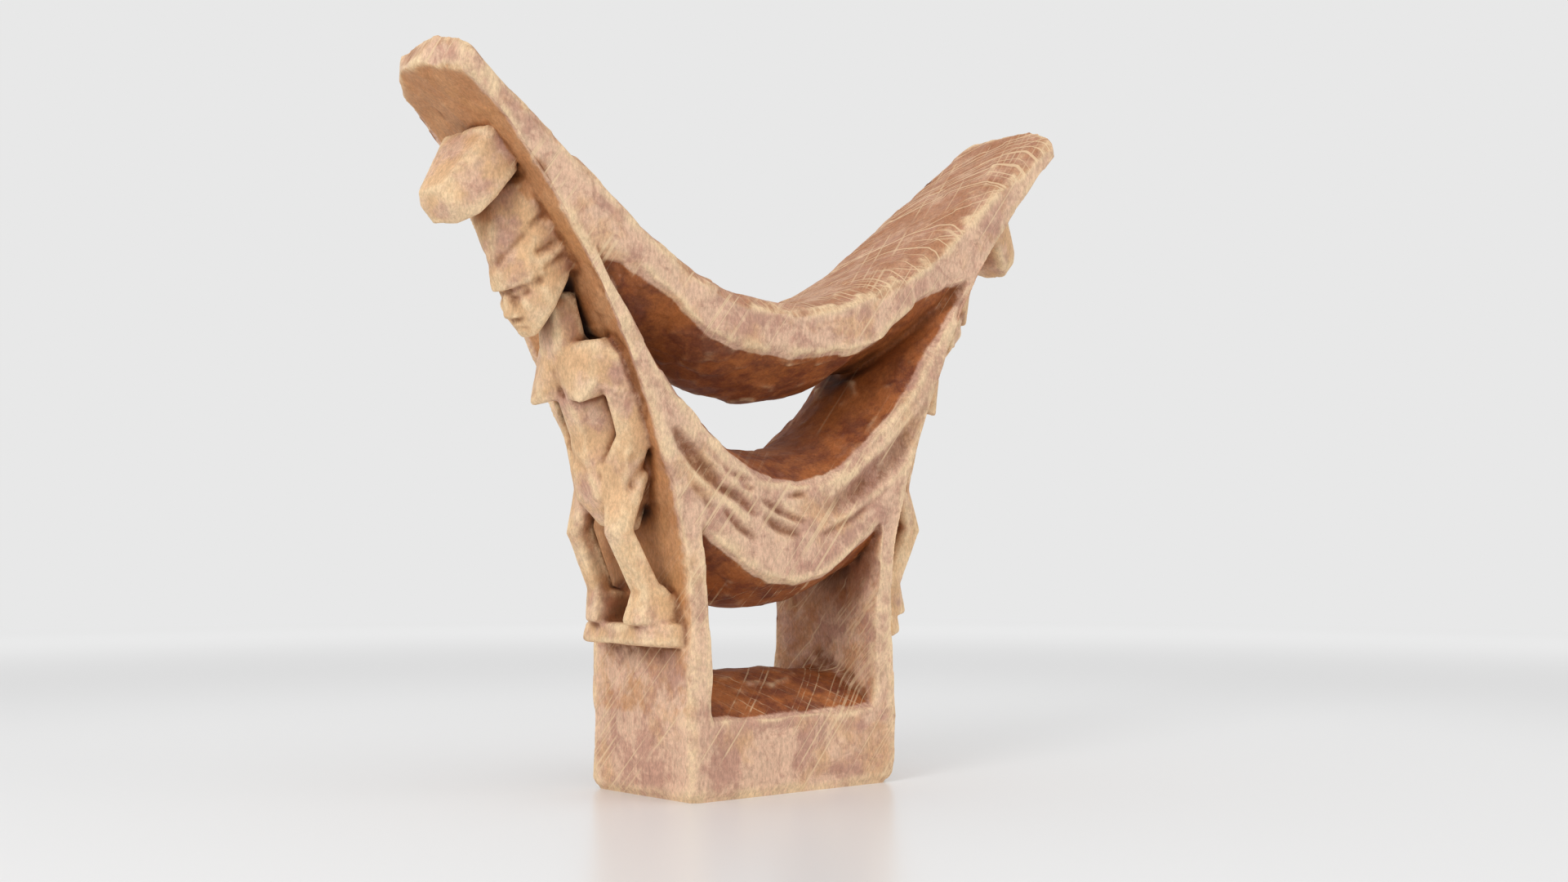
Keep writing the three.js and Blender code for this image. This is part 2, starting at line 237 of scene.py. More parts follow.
print("edit-mode helpers ready")


# %% [markdown]
# ## The sawn blank
#
# The block is first sawn to its outline, seen from the front. The outer sides are then hollowed
# with a gouge behind each figure, and each wing is thinned towards its back edge. All of that is
# one layered solid: only the outline changes from layer to layer.

# %% Blank
scoop_up = fair([
    (56, 0), (70, 0.9), (100, 1.6), (130, 3.4), (160, 3.8), (176, 5), (184, 5.2), (189, 4.4),
    (194, 1.6), (197, 0.4),
])
thin_up = fair([(145, 0), (162, 3), (184, 8.4), (tip_height, 8.8)])


def outer_side(z, y):
    """Half width of the outer side at height z and depth y."""
    across = np.clip((y + half_depth) / (2 * half_depth), 0, 1)
    hollow = math.sin(math.pi * across) ** 0.7 if 0 < across < 1 else 0
    back = np.clip((y - 2) / (half_depth - 2), 0, 1)
    front_nip = 1.2 * np.clip((-y - half_depth + 3) / 3, 0, 1) * np.clip((z - 150) / 40, 0, 1)
    return outer_marks(z) - scoop_up(z) * hollow - thin_up(z) * back - front_nip


def mirrored_outline(right_run):
    """Closes a run of points from the lower to the upper centre line with its mirror image."""
    left_run = [(-x, z) for x, z in reversed(right_run) if abs(x) > 1e-6]
    return list(right_run) + left_run


depth_stops = half_depth * np.array(
    [-1, -0.96, -0.88, -0.75, -0.6, -0.4, -0.2, 0, 0.15, 0.3, 0.45, 0.6, 0.75, 0.88, 0.96, 1])


def blank_outline(y):
    worn_foot = 2.4 * max(0, (abs(y) / half_depth - 0.93) / 0.07) ** 2
    heights = np.concatenate([[2.6], np.linspace(6, tip_height, 34), [200, 208, peak_height + 6]])
    run = [(0.0, worn_foot), (foot_half - 4.5, worn_foot), (foot_half - 1.2, 0.7 + worn_foot)]
    run += [(float(outer_side(z, y)), float(z)) for z in heights]
    run.append((0.0, peak_height + 6))
    return mirrored_outline(run)


board = layered("board", [(float(y), blank_outline(y)) for y in depth_stops])
print("blank", round(volume_of(board)), "mm3")

# %% [markdown]
# ## The windows and the rest
#
# Each window was opened from both faces and meets near the middle, so every bar swells into the
# window like the waist of an hourglass. The cutter for a window is again a layered solid: wide at
# the faces, narrow where the two cuts met. The rest is hollowed from above with a slight crown
# from front to back, and the crown rolls over softly at both edges.

# %% Cutters
swell_centre = 4.0
over_cut = 1.5


def swell(y):
    """How far a window has narrowed at depth y: 0 at a face, 1 at the middle of the swell."""
    reach = half_depth + swell_centre if y < swell_centre else half_depth - swell_centre
    return 1 - min(1.0, abs(y - swell_centre) / reach) ** 1.7


def mix(a, b, share):
    return a + (b - a) * share


def window_layers(outline_at):
    inside = [(float(y), outline_at(swell(y))) for y in depth_stops]
    wide = outline_at(0)
    return [(-half_depth - over_cut, wide), *inside, (half_depth + over_cut, wide)]


def upper_window(share):
    reach = mix(71.6, 42.0, share)
    places = reach * np.sin(np.linspace(0, math.pi / 2, 22))
    face_x, ridge_x = 71.6 * places / reach, 42.0 * places / reach
    low = mix(crescent_edge(face_x), crescent_ridge(ridge_x), share)
    high = mix(saddle_edge(face_x), saddle_ridge(ridge_x), share)
    run = [(float(x), float(z)) for x, z in zip(places, low)]
    run += [(float(x), float(z)) for x, z in zip(places[::-1], np.maximum(high, low + 0.4)[::-1])]
    return mirrored_outline(run)


inner_face = fair([(20, 31), (45, 31.2), (62, 32.6), (80, 34.6)])


def lower_window(share):
    floor = mix(21.9, 33.4, share)
    places = np.linspace(0, 1, 12)
    tops = mix(crescent_foot(34.4 * places), keel_line(35.6 * places), share)
    side_top = float(tops[-1])
    run = [(0.0, floor + 0.2), (16.0, floor), (30.2, floor - 0.6 + 0.4 * share)]
    for height in np.linspace(floor + 2, side_top - 1.5, 8):
        run.append((float(inner_face(height)) + 1.2 * share, float(height)))
    reach = float(inner_face(side_top)) + 1.2 * share
    run += [(float(reach * t), float(z)) for t, z in zip(places[::-1], tops[::-1])]
    return mirrored_outline(run)


roll = fair([(0, 2.6), (0.45, 2.3), (0.7, 1.5), (0.86, 0.2), (0.95, -1.2), (1, -3.0)])


def rest_outline(y):
    across = abs(y) / half_depth
    crown = float(roll(across)) + (0.4 if y < 0 else -0.9 * across)
    places = np.linspace(0, tip_nose + 14, 40)
    run = [(float(x), float(rest_marks(x)) + crown) for x in places]
    return mirrored_outline([*run, (tip_nose + 14, peak_height + 16), (0.0, peak_height + 16)])


rest_layers = [(-half_depth - over_cut, rest_outline(-half_depth))]
rest_layers += [(float(y), rest_outline(y)) for y in depth_stops]
rest_layers += [(half_depth + over_cut, rest_outline(half_depth))]
cut(board, layered("upper_window_tool", window_layers(upper_window)))
cut(board, layered("lower_window_tool", window_layers(lower_window)))
cut(board, layered("rest_tool", rest_layers))
print("board after cutting", round(volume_of(board)), "mm3")

# %% [markdown]
# ## Trimming the tips
#
# Each wing ends in a few flat saw and knife cuts that meet in a low peak. A flat cut through a
# solid is what the bisect operator does: it takes a point on the plane and the plane's direction,
# throws away what lies outside, and fills the cut. The cuts differ a little from side to side.

# %% Flat cuts at the wing ends
def slice_off(thing, place, facing):
    use(thing)
    bpy.ops.object.mode_set(mode="EDIT")
    bpy.ops.mesh.select_all(action="SELECT")
    bpy.ops.mesh.bisect(
        plane_co=[value * MM for value in place], plane_no=facing, use_fill=True, clear_outer=True)
    bpy.ops.object.mode_set(mode="OBJECT")


peak_depth = -9.5
for sign, settle in ((-1, 0.0), (1, 1.2)):
    top = peak_height - 0.7 - settle
    reach = tip_nose - 5.4
    slice_off(board, (sign * reach, peak_depth, top), (sign * 0.955, -0.19, 0.22))
    slice_off(board, (sign * reach, peak_depth, top), (sign * 0.86, 0.13, 0.48))
    slice_off(board, (sign * (reach + 1.6), 6, peak_height - 10), (sign * 0.93, 0.36, 0.03))
    slice_off(board, (sign * (reach - 9.5), half_depth - 1, peak_height - 8), (sign * 0.78, 0.62, 0.12))
print("tips", [round(v, 1) for v in np.array(board.bound_box).max(0) / MM])

# %% [markdown]
# ## Whittling the figures
#
# A knife leaves flat planes that meet in soft ridges. So each limb is whittled the same way: a
# few small balls are placed at its corners, and a convex hull is stretched over them. The hull
# operator gives the flat planes, and the balls' radii give the ridges. Places are given as
# (stand-out from the arm, depth, height), so that a figure leans with the board behind it.

# %% Whittling helper
figure_depth = -2.0


def whittle(name, corners, side, lean=True):
    """Stretches a hull over balls at (out, depth, height, radius)."""
    clear_selection()
    started = False
    for out, y, z, radius in corners:
        x = (float(outer_marks(z)) + out) if lean else out
        spot = (side * x * MM, (y + figure_depth) * MM, z * MM)
        bpy.ops.mesh.primitive_ico_sphere_add(subdivisions=2, radius=radius * MM, location=spot)
        if not started:
            lump = bpy.context.object
            lump.name = name
            bpy.ops.object.mode_set(mode="EDIT")
            bpy.ops.mesh.select_all(action="SELECT")
            started = True
    bpy.ops.mesh.select_all(action="SELECT")
    bpy.ops.mesh.convex_hull()
    bpy.ops.mesh.select_all(action="SELECT")
    bpy.ops.mesh.normals_make_consistent(inside=False)
    bpy.ops.object.mode_set(mode="OBJECT")
    use(lump)
    bpy.ops.object.transform_apply(location=True, rotation=True, scale=True)
    return lump


def joined(things, name):
    clear_selection()
    for thing in things:
        thing.select_set(True)
    bpy.context.view_layer.objects.active = things[0]
    if len(things) > 1:
        bpy.ops.object.join()
    whole = bpy.context.object
    whole.name = name
    return whole


print("a figure stands", -figure_depth, "mm in front of the board's middle")


# %% [markdown]
# ## The body plan
#
# Each part is a short list of hulls, given as corners with a ball's radius. From the ground up:
# the plinth is one slab, the thighs and shins are square-ish bars, and the feet are wedges that
# run back into the post. The near side of a figure is the front of the board, and the far side is
# its back, where the leg stands out a little less.

# %% Plinth and legs
def plinth_recipe(_):
    top, low = plinth_top, plinth_low
    return [[
        (-3, -16.6, low + 1, 1), (-3, 18.4, low + 1, 1), (-3, -16.6, top - 1, 1), (-3, 18.4, top - 1, 1),
        (4.6, -16.6, low + 1.2, 1), (9.8, -12.6, low + 1.8, 1.2), (9.4, 15.6, low + 1.8, 1.2),
        (3.4, -16.2, top - 1.2, 1), (9.4, -11.8, top - 1.5, 1.2), (8.8, 15.2, top - 1.5, 1.2),
        (7.4, 17.2, low + 2.4, 1), (6.8, 16.8, top - 2.2, 1),
    ]]


def leg_recipe(depth_side):
    s = depth_side
    far = 1.2 if s > 0 else 0.0
    return [
        [(3.0, s * 10.4, 90, 2.6), (9.0, s * 6.0, 87.5, 2.8), (5.8, s * 12.0, 86.5, 1.8),
         (9.0, s * 10.4, 86, 2.0), (15.6 - far, s * 11.8, 74.2, 1.5), (16.0 - far, s * 8.6, 74.4, 1.5),
         (12.0 - far, s * 12.0, 75.0, 1.4), (11.6 - far, s * 8.4, 76.5, 1.6)],
        [(15.2 - far, s * 11.8, 73.2, 1.4), (15.6 - far, s * 8.8, 73.2, 1.4),
         (11.6 - far, s * 12.2, 74.4, 1.3), (11.6 - far, s * 8.4, 75.2, 1.5),
         (9.4, s * 12.4, 58.4, 1.3), (9.8, s * 9.2, 58.4, 1.3),
         (5.4, s * 12.6, 59.6, 1.2), (5.4, s * 9.4, 59.6, 1.3)],
        [(9.6, s * 12.6, 58.0, 1.2), (9.8, s * 8.8, 58.0, 1.2), (4.4, s * 13.4, 59.2, 1.1),
         (12.8 - far, s * 8.0, 50.2, 1.1), (11.8 - far, s * 13.0, 50.2, 1.1),
         (11.6 - far, s * 8.4, 53.0, 1.2), (11.0 - far, s * 12.4, 53.0, 1.2),
         (4.6, s * 8.2, 57, 1.4), (-2, s * 14.2, 49.4, 1.6),
         (-2, s * 8.0, 49.4, 1.6), (-2, s * 13.6, 53.6, 1.2), (-2, s * 8.0, 56, 1.2)],
    ]


print("hulls in a leg", len(leg_recipe(-1)), "and in a plinth", len(plinth_recipe(0)))

# %% [markdown]
# ## Arms and torso
#
# An arm is two bars, from shoulder to elbow and from elbow to hand, and the hand rests on the
# groin. The chest is two pointed wedges that share the collar, which gives its W-shaped lower
# edge. Below it, three hulls share their rings of corners, so the belly swells and draws in again
# without a step.

# %% Arms and torso
def arm_recipe(depth_side):
    s = depth_side
    return [
        [(0.6, s * 12.6, 126.2, 2.2), (3.6, s * 13.0, 124.4, 1.9), (1.2, s * 15.4, 122.4, 1.6),
         (5.4, s * 12.8, 119.0, 1.2), (5.6, s * 13.9, 99.8, 1.3), (7.2, s * 12.2, 100.4, 1.1),
         (-2, s * 14.0, 100, 2.0), (-2, s * 12.4, 118, 2.0)],
        [(5.8, s * 13.6, 99.2, 1.4), (7.4, s * 11.8, 100.4, 1.3), (1.6, s * 13.6, 98.4, 1.6),
         (13.0, s * 5.4, 84.4, 1.2), (12.0, s * 7.4, 82.8, 1.1), (13.4, s * 3.0, 86.2, 1.1),
         (9.0, s * 11.0, 88.4, 1.2), (9.4, s * 8.4, 93.2, 1.1), (4.0, s * 9.0, 90, 2.0)],
    ]


def torso_recipe(_):
    chest = []
    for s in (-1, 1):
        tip_out, tip_depth = (14.2, 9.4) if s < 0 else (16.2, 10.4)
        chest += [
            [(9.2, s * 1.0, 124.8, 1.4), (7.4, s * 7.0, 124.6, 1.5), (3.0, s * 13.0, 125.8, 1.8),
             (5.6, s * 13.0, 119.2, 1.3), (12.0, 0, 117.6, 1.2), (12.6, s * 2.2, 112.2, 1.1),
             (tip_out, s * tip_depth, 110.6, 0.8), (9.0, s * 12.2, 115.4, 1.0), (2, s * 10, 115, 2.0)],
        ]
    return chest + [
        [(-1, 11, 123, 3), (-1, -11, 123, 3), (-1, 8, 108, 4), (-1, -8, 108, 4), (5, 0, 119, 4)],
        [(12.2, 1.8, 111.6, 1.3), (12.2, -1.8, 111.6, 1.3), (5.4, 8.0, 112.5, 1.4), (5.4, -8.0, 112.5, 1.4),
         (11.4, 2.6, 101, 1.8), (11.4, -2.6, 101, 1.8), (4.8, 8.0, 101, 1.6), (4.8, -8.0, 101, 1.6),
         (-2, 8, 111, 2), (-2, -8, 111, 2), (-2, 8, 101, 2), (-2, -8, 101, 2)],
        [(11.4, 2.6, 101, 1.8), (11.4, -2.6, 101, 1.8), (4.8, 8.0, 101, 1.6), (4.8, -8.0, 101, 1.6),
         (13.6, 2.6, 93.0, 1.8), (13.6, -2.6, 93.0, 1.8), (5.2, 8.6, 91, 2.2), (5.2, -8.6, 91, 2.2),
         (-2, 8, 101, 2), (-2, -8, 101, 2), (-2, 9, 91, 2), (-2, -9, 91, 2)],
        [(13.6, 2.6, 92.6, 1.8), (13.6, -2.6, 92.6, 1.8), (13.4, 4.6, 84.6, 1.4), (13.4, -4.6, 84.6, 1.4),
         (6.0, 9.0, 90, 2.2), (6.0, -9.0, 90, 2.2), (10.2, 1.4, 77.6, 1.4), (10.2, -1.4, 77.6, 1.4),
         (4.0, 4.4, 76.8, 2.0), (4.0, -4.4, 76.8, 2.0), (-2, 8, 91, 2), (-2, -8, 91, 2)],
    ]


print("hulls in an arm", len(arm_recipe(-1)), "and in a torso", len(torso_recipe(0)))

# %% [markdown]
# ## Head, cap and lug
#
# The head is a bowed mask: a skull, a face set back under the brow, a nose, two lips, a neck and
# two ears. A tall cap sits over it and runs up into the lug, the faceted block under the wing.
# Their places are given outward from the middle of the board, not from the arm.

# %% Head, cap and lug
def head_recipe(_):
    skull = [
        (88.8, 1.4, 144.6, 1.1), (88.8, -1.4, 144.6, 1.1), (87.4, 2.6, 140.2, 0.9), (87.4, -2.6, 140.2, 0.9),
        (82.8, 7.6, 142.4, 1.0), (82.8, -7.6, 142.4, 1.0), (82.0, 8.6, 153.0, 1.2), (82.0, -8.6, 153.0, 1.2),
        (77.4, 9.2, 146.4, 1.2), (77.4, -9.2, 146.4, 1.2), (78.4, 9.0, 157.6, 1.4), (78.4, -9.0, 157.6, 1.4),
        (67.6, 8.6, 147.4, 1.5), (67.6, -8.6, 147.4, 1.5), (73.6, 8.4, 158.0, 2.0), (73.6, -8.4, 158.0, 2.0),
        (78.6, 8.4, 163.0, 1.6), (78.6, -8.4, 163.0, 1.6), (88.2, 2.6, 149.4, 1.3), (88.2, -2.6, 149.4, 1.3),
    ]
    face = [
        (84.6, 2.4, 141.0, 1.0), (84.6, -2.4, 141.0, 1.0), (81.0, 7.3, 142.4, 1.1), (81.0, -7.3, 142.4, 1.1),
        (82.4, 5.2, 136.4, 1.1), (82.4, -5.2, 136.4, 1.1), (78.2, 8.5, 140.0, 1.2), (78.2, -8.5, 140.0, 1.2),
        (71.6, 8.9, 145.0, 1.2), (71.6, -8.9, 145.0, 1.2), (75.6, 8.0, 136.2, 1.2), (75.6, -8.0, 136.2, 1.2),
        (77.6, 5.8, 131.6, 1.1), (77.6, -5.8, 131.6, 1.1), (78.0, 2.6, 128.8, 1.0), (78.0, -2.6, 128.8, 1.0),
        (78.6, 1.0, 128.6, 0.9), (78.6, -1.0, 128.6, 0.9), (80.4, 2.2, 131.4, 0.9), (80.4, -2.2, 131.4, 0.9),
    ]
    nose = [
        (85.6, 0, 138.0, 0.8), (85.2, 0, 133.0, 0.8), (82.8, 2.1, 132.8, 0.7), (82.8, -2.1, 132.8, 0.7),
        (84.0, 1.2, 138.8, 0.8), (84.0, -1.2, 138.8, 0.8), (80, 0, 133.4, 1),
    ]
    upper_lip = [
        (80.8, 2.0, 130.4, 0.5), (80.8, -2.0, 130.4, 0.5), (82.1, 0, 130.7, 0.6), (79, 0, 130.8, 0.8),
    ]
    lower_lip = [
        (79.8, 1.7, 128.9, 0.5), (79.8, -1.7, 128.9, 0.5), (80.7, 0, 129.0, 0.6), (78, 0, 129.2, 0.8),
    ]
    neck = [
        (70.0, 3.2, 133, 1.3), (70.0, -3.2, 133, 1.3), (67.0, 4.0, 139, 1.3), (67.0, -4.0, 139, 1.3),
        (72.0, 2.6, 139, 1.3), (72.0, -2.6, 139, 1.3), (69.8, 3.8, 124.0, 1.5), (69.8, -3.8, 124.0, 1.5),
        (64.0, 5.0, 126, 1.6), (64.0, -5.0, 126, 1.6),
    ]
    nape = [
        (61.8, 6.0, 125.0, 1.6), (61.8, -6.0, 125.0, 1.6), (64.6, 3.6, 129.4, 1.1), (64.6, -3.6, 129.4, 1.1),
        (60, 0, 124, 2.0),
    ]
    parts = [skull, face, nose, upper_lip, lower_lip, neck, nape]
    for s in (-1, 1):
        parts.append([
            (82.0, s * 9.4, 149.6, 0.6), (78.4, s * 10.1, 153.2, 0.7), (74.6, s * 10.3, 152.2, 0.8),
            (74.0, s * 10.2, 150.2, 0.7), (79.4, s * 9.7, 144.8, 0.6), (77.2, s * 9.4, 147.2, 0.8),
        ])
    return parts


def cap_recipe(_):
    return [
        [(91.0, -2.2, 165.6, 1.0), (91.4, -2.0, 154.6, 1.0), (89.8, -1.2, 146.0, 0.8),
         (93.2, 5.4, 162.4, 1.0), (89.0, 6.2, 154.4, 1.0), (86.8, 5.6, 148.0, 0.8),
         (82.6, -8.9, 160.0, 1.1), (84.8, -8.6, 168.0, 1.4), (82.6, 8.9, 160.0, 1.1), (84.8, 8.6, 168.0, 1.4),
         (77, -7.4, 162, 1.6), (77, 7.4, 162, 1.6), (90, 0, 171, 1.6)],
    ]


def lug_recipe(_):
    return [
        [(109.4, 4.8, 165.0, 0.5), (108.4, -4.8, 164.6, 0.5), (105.2, 4.2, 157.0, 0.6),
         (103.8, -4.6, 156.6, 0.6), (106.4, -6.2, 160.8, 0.6), (108.0, 6.0, 161.4, 0.6),
         (97.0, -10.2, 180.8, 0.6), (99.0, 9.0, 181.0, 0.6), (91.2, -10.8, 175.6, 1.0),
         (90.4, -10.8, 170.8, 1.0), (92.0, 9.6, 174.4, 1.0), (91.0, 9.6, 169.6, 1.0),
         (95.4, -9.6, 164.4, 1.1), (96.0, 9.0, 163.6, 1.1), (99.6, -7.8, 159.6, 1.1),
         (100.4, 7.2, 159.2, 1.1)],
    ]


RECIPES = {
    "lug": (lug_recipe, 0, False),
    "cap": (cap_recipe, 0, False),
    "head": (head_recipe, 0, False),
    "near_arm": (arm_recipe, -1, True),
    "far_arm": (arm_recipe, 1, True),
    "near_leg": (leg_recipe, -1, True),
    "far_leg": (leg_recipe, 1, True),
    "plinth": (plinth_recipe, 0, True),
    "torso": (torso_recipe, 0, True),
}


def rough_out(part, side):
    recipe, depth_side, lean = RECIPES[part]
    hulls = []
    for number, corners in enumerate(recipe(depth_side)):
        hulls.append(whittle(f"{part}_{number}", corners, side, lean))
    return joined(hulls, part)


print("hulls in a head", len(head_recipe(0)))

# %% [markdown]
# ## Roughing out
#
# Now every part is made for both figures. The second one mirrors the first.

# %% Rough parts
roughs = [rough_out(part, side) for side in SIDES.values() for part in RECIPES]
print(len(roughs), "roughed-out figure parts")

# %% [markdown]
# ## One body again
#
# The real thing was never assembled, so the roughed-out parts have to melt into the board. A voxel
# remesh at about half a millimetre does that: every overlap becomes one skin, and the joins get
# the small fillets that a knife can't avoid. A light smoothing takes off the voxel steps.

# %% Remesh into one carving
carving = joined([board, *roughs], "carving")
use(carving)
remesh = carving.modifiers.new("one_body", "REMESH")
remesh.mode = "VOXEL"
remesh.voxel_size = VOXEL * MM
bpy.ops.object.modifier_apply(modifier=remesh.name)
soften = carving.modifiers.new("soften", "SMOOTH")
soften.factor = 0.5
soften.iterations = 2
bpy.ops.object.modifier_apply(modifier=soften.name)
print("carving", len(carving.data.vertices), "points")

# %% [markdown]
# ## Carving marks
#
# From here on the mesh is treated as a sculptor treats clay: points are moved in code. Three
# things are added. A slow unevenness, because nothing cut by eye is true. Then chisel facets: the
# surface is parcelled out round scattered sites, and each parcel is pressed towards one plane.
# Last come the gouge cuts on the front of the crescent, each one a line with a width and a depth.

# %% Points as arrays
def read_points(thing, kind="co"):
    values = np.empty(len(thing.data.vertices) * 3, np.float32)
    thing.data.vertices.foreach_get(kind, values)
    return values.reshape(-1, 3).astype(float) / (MM if kind == "co" else 1)


def write_points(thing, points):
    thing.data.vertices.foreach_set("co", (points * MM).astype(np.float32).ravel())
    thing.data.update()


def edges_of(thing):
    pairs = np.empty(len(thing.data.edges) * 2, np.int64)
    thing.data.edges.foreach_get("vertices", pairs)
    return pairs.reshape(-1, 2)


def smooth_step(value, low, high):
    t = np.clip((value - low) / (high - low), 0, 1)
    return t * t * (3 - 2 * t)


def spread(values, pairs, rounds):
    """Averages each point's value with its neighbours', several times over."""
    count = len(values)
    degree = np.bincount(pairs.ravel(), minlength=count)
    columns = values.reshape(count, -1)
    for _ in range(rounds):
        total = np.empty_like(columns)
        for k in range(columns.shape[1]):
            total[:, k] = np.bincount(pairs[:, 0], columns[pairs[:, 1], k], count)
            total[:, k] += np.bincount(pairs[:, 1], columns[pairs[:, 0], k], count)
        columns = 0.35 * columns + 0.65 * total / np.maximum(degree, 1)[:, None]
    return columns.reshape(values.shape)


def waves(points, length, seed, count=9):
    """Soft random hills about one unit high, with the given wavelength in mm."""
    dice = np.random.default_rng(seed)
    total = np.zeros(len(points))
    for _ in range(count):
        way = dice.normal(size=3)
        way /= np.linalg.norm(way) * length * dice.uniform(0.7, 1.5) / (2 * math.pi)
        total += np.sin(points @ way + dice.uniform(0, 2 * math.pi))
    return total / math.sqrt(count / 2)


pairs = edges_of(carving)
points = read_points(carving)
normals = read_points(carving, "normal")
outer_now = outer_marks(points[:, 2])
on_figure = smooth_step(np.abs(points[:, 0]) - outer_now, -1.0, 1.5)
on_figure *= smooth_step(points[:, 2], plinth_low - 2, plinth_low) * (points[:, 2] < tip_height - 6)
foot_fade = smooth_step(points[:, 2], 0, 5)
print("points on the figures", int((on_figure > 0.5).sum()))

# %% [markdown]
# ## Unevenness and chisel facets
#
# A facet about as wide as a fingertip is what a straight chisel leaves. Sites are drawn at random
# from the surface's own points, so facets are no larger on the arms than on the block. Figures
# are pressed less, because a knife's marks are smaller than a chisel's.

# %% Unevenness and chisel facets
uneven = 0.42 * waves(points, 34, 3) + 0.16 * waves(points, 13, 4)
points += normals * (uneven * (1 - 0.8 * on_figure) * foot_fade)[:, None]

dice = np.random.default_rng(12)
facet_size = 7.5
surface_area = sum(face.area for face in carving.data.polygons) / MM**2
site_count = int(surface_area / facet_size**2)
chosen = dice.choice(len(points), site_count, replace=False)
tree = kdtree.KDTree(site_count)
for number, index in enumerate(chosen):
    tree.insert(points[index], number)
tree.balance()
parcel = np.fromiter((tree.find(p)[1] for p in points), np.int64, len(points))
members = np.bincount(parcel, minlength=site_count)


def parcel_mean(values):
    sums = [np.bincount(parcel, values[:, k], site_count) for k in range(3)]
    return np.stack(sums, axis=1) / np.maximum(members, 1)[:, None]


centre = parcel_mean(points)
facing = parcel_mean(normals)
facing /= np.maximum(np.linalg.norm(facing, axis=1, keepdims=True), 1e-9)
agree = np.einsum("ij,ij->i", normals, facing[parcel])
offset = np.einsum("ij,ij->i", centre[parcel] - points, facing[parcel])
press = np.clip(offset, -0.45, 0.45) * smooth_step(agree, 0.86, 0.97)
press *= (0.85 - 0.5 * on_figure) * foot_fade
points += facing[parcel] * press[:, None]
print(site_count, "facets of about", facet_size, "mm")

# %% [markdown]
# ## Gouge cuts on the crescent
#
# The front of the lower bar was worked over with a gouge: a long hollow follows its upper edge on
# the right, a deeper one runs down on the left, and a handful of short cuts cross in the middle.
# A cut is a polyline in the plane of the face. Its depth falls off across its width, with a soft
# round bottom for a gouge and a straight-sided one for a knife.

# %% Gouge cuts
def line_distance(x, z, line):
    """Distance to a polyline, and how far along it the nearest place lies, from 0 to 1."""
    best = np.full(len(x), 1e9)
    along = np.zeros(len(x))
    lengths = [math.dist(a, b) for a, b in zip(line, line[1:])]
    total, passed = sum(lengths), 0.0
    for (ax, az), (bx, bz), length in zip(line, line[1:], lengths):
        t = np.clip(((x - ax) * (bx - ax) + (z - az) * (bz - az)) / length**2, 0, 1)
        distance = np.hypot(x - ax - t * (bx - ax), z - az - t * (bz - az))
        closer = distance < best
        best = np.where(closer, distance, best)
        along = np.where(closer, (passed + t * length) / total, along)
        passed += length
    return best, along


ROUND, STRAIGHT = 2.0, 1.0
GOUGE_CUTS = [
    ([(6, 79.5), (16, 82), (27, 88), (40, 97.5), (50, 108), (57, 117)], 5.2, 1.9, ROUND),
    ([(-46, 104.5), (-39, 97.5), (-31, 90.5), (-26, 87.5)], 3.6, 2.3, ROUND),
    ([(-46.5, 108.2), (-34.5, 98.9), (-24, 91), (-14.6, 86.6)], 1.1, 1.1, STRAIGHT),
    ([(-33, 89.3), (-27.4, 87.2), (-21, 84.2), (-14.5, 79)], 2.6, 2.0, STRAIGHT),
    ([(-23.5, 91.6), (-16, 88.4)], 1.5, 1.3, STRAIGHT),
    ([(-21.5, 88.2), (-14.6, 86.2)], 1.3, 1.1, STRAIGHT),
    ([(-13.6, 84), (-5, 79.8), (4.8, 76.8)], 1.8, 1.8, STRAIGHT),
    ([(-27.5, 81.8), (-21.5, 76.3), (-14, 71.9)], 1.7, 1.2, ROUND),
    ([(-13.2, 79.4), (-5, 75.4), (3, 73.4)], 2.8, 1.5, ROUND),
    ([(3.5, 71.8), (12, 74.2), (21.7, 77.9), (37, 87)], 1.5, 1.1, ROUND),
    ([(-3.8, 84.3), (4.6, 85.4)], 1.3, 1.0, STRAIGHT),
    ([(-5, 67), (7, 68.2)], 1.1, 0.7, ROUND),
    ([(-40, 90), (-34, 84.5), (-29.5, 79.5)], 2.6, 0.8, ROUND),
    ([(8, 88), (20, 92), (33, 101), (42, 110)], 1.6, 0.8, ROUND),
]
BACK_CUTS = [
    ([(-40, 98), (-24, 86), (-6, 79.5), (12, 80.5)], 5.0, 1.4, ROUND),
    ([(44, 103), (30, 90), (16, 83)], 3.4, 1.5, ROUND),
    ([(-8, 72), (8, 70.5), (22, 76)], 2.4, 1.0, ROUND),
]
FRONT_PRESSURE = 1.3


def cut_depths(cuts, narrowing):
    """How deep the cuts go at each point. Narrowing says how much a cut thins towards its ends."""
    depths = np.zeros(len(points))
    for line, width, depth, power in cuts:
        distance, along = line_distance(points[:, 0], points[:, 2], line)
        taper = np.sin(math.pi * np.clip(along, 0.04, 0.96)) ** 0.5
        reach = width * (1 - narrowing + narrowing * taper)
        profile = np.clip(1 - (distance / reach) ** power, 0, 1)
        depths = np.maximum(depths, depth * taper * profile)
    return depths


def facing_face(way):
    """1 on the front face (way -1) or the back face (way 1), and 0 elsewhere."""
    return smooth_step(way * normals[:, 1], 0.35, 0.75) * (way * points[:, 1] > half_depth * 0.6)


gouged = FRONT_PRESSURE * cut_depths(GOUGE_CUTS, 0.45) * facing_face(-1)
points[:, 1] += gouged
points[:, 1] -= cut_depths(BACK_CUTS, 0.0) * facing_face(1)
write_points(carving, points)
print("deepest gouge cut", round(float(gouged.max()), 2), "mm")
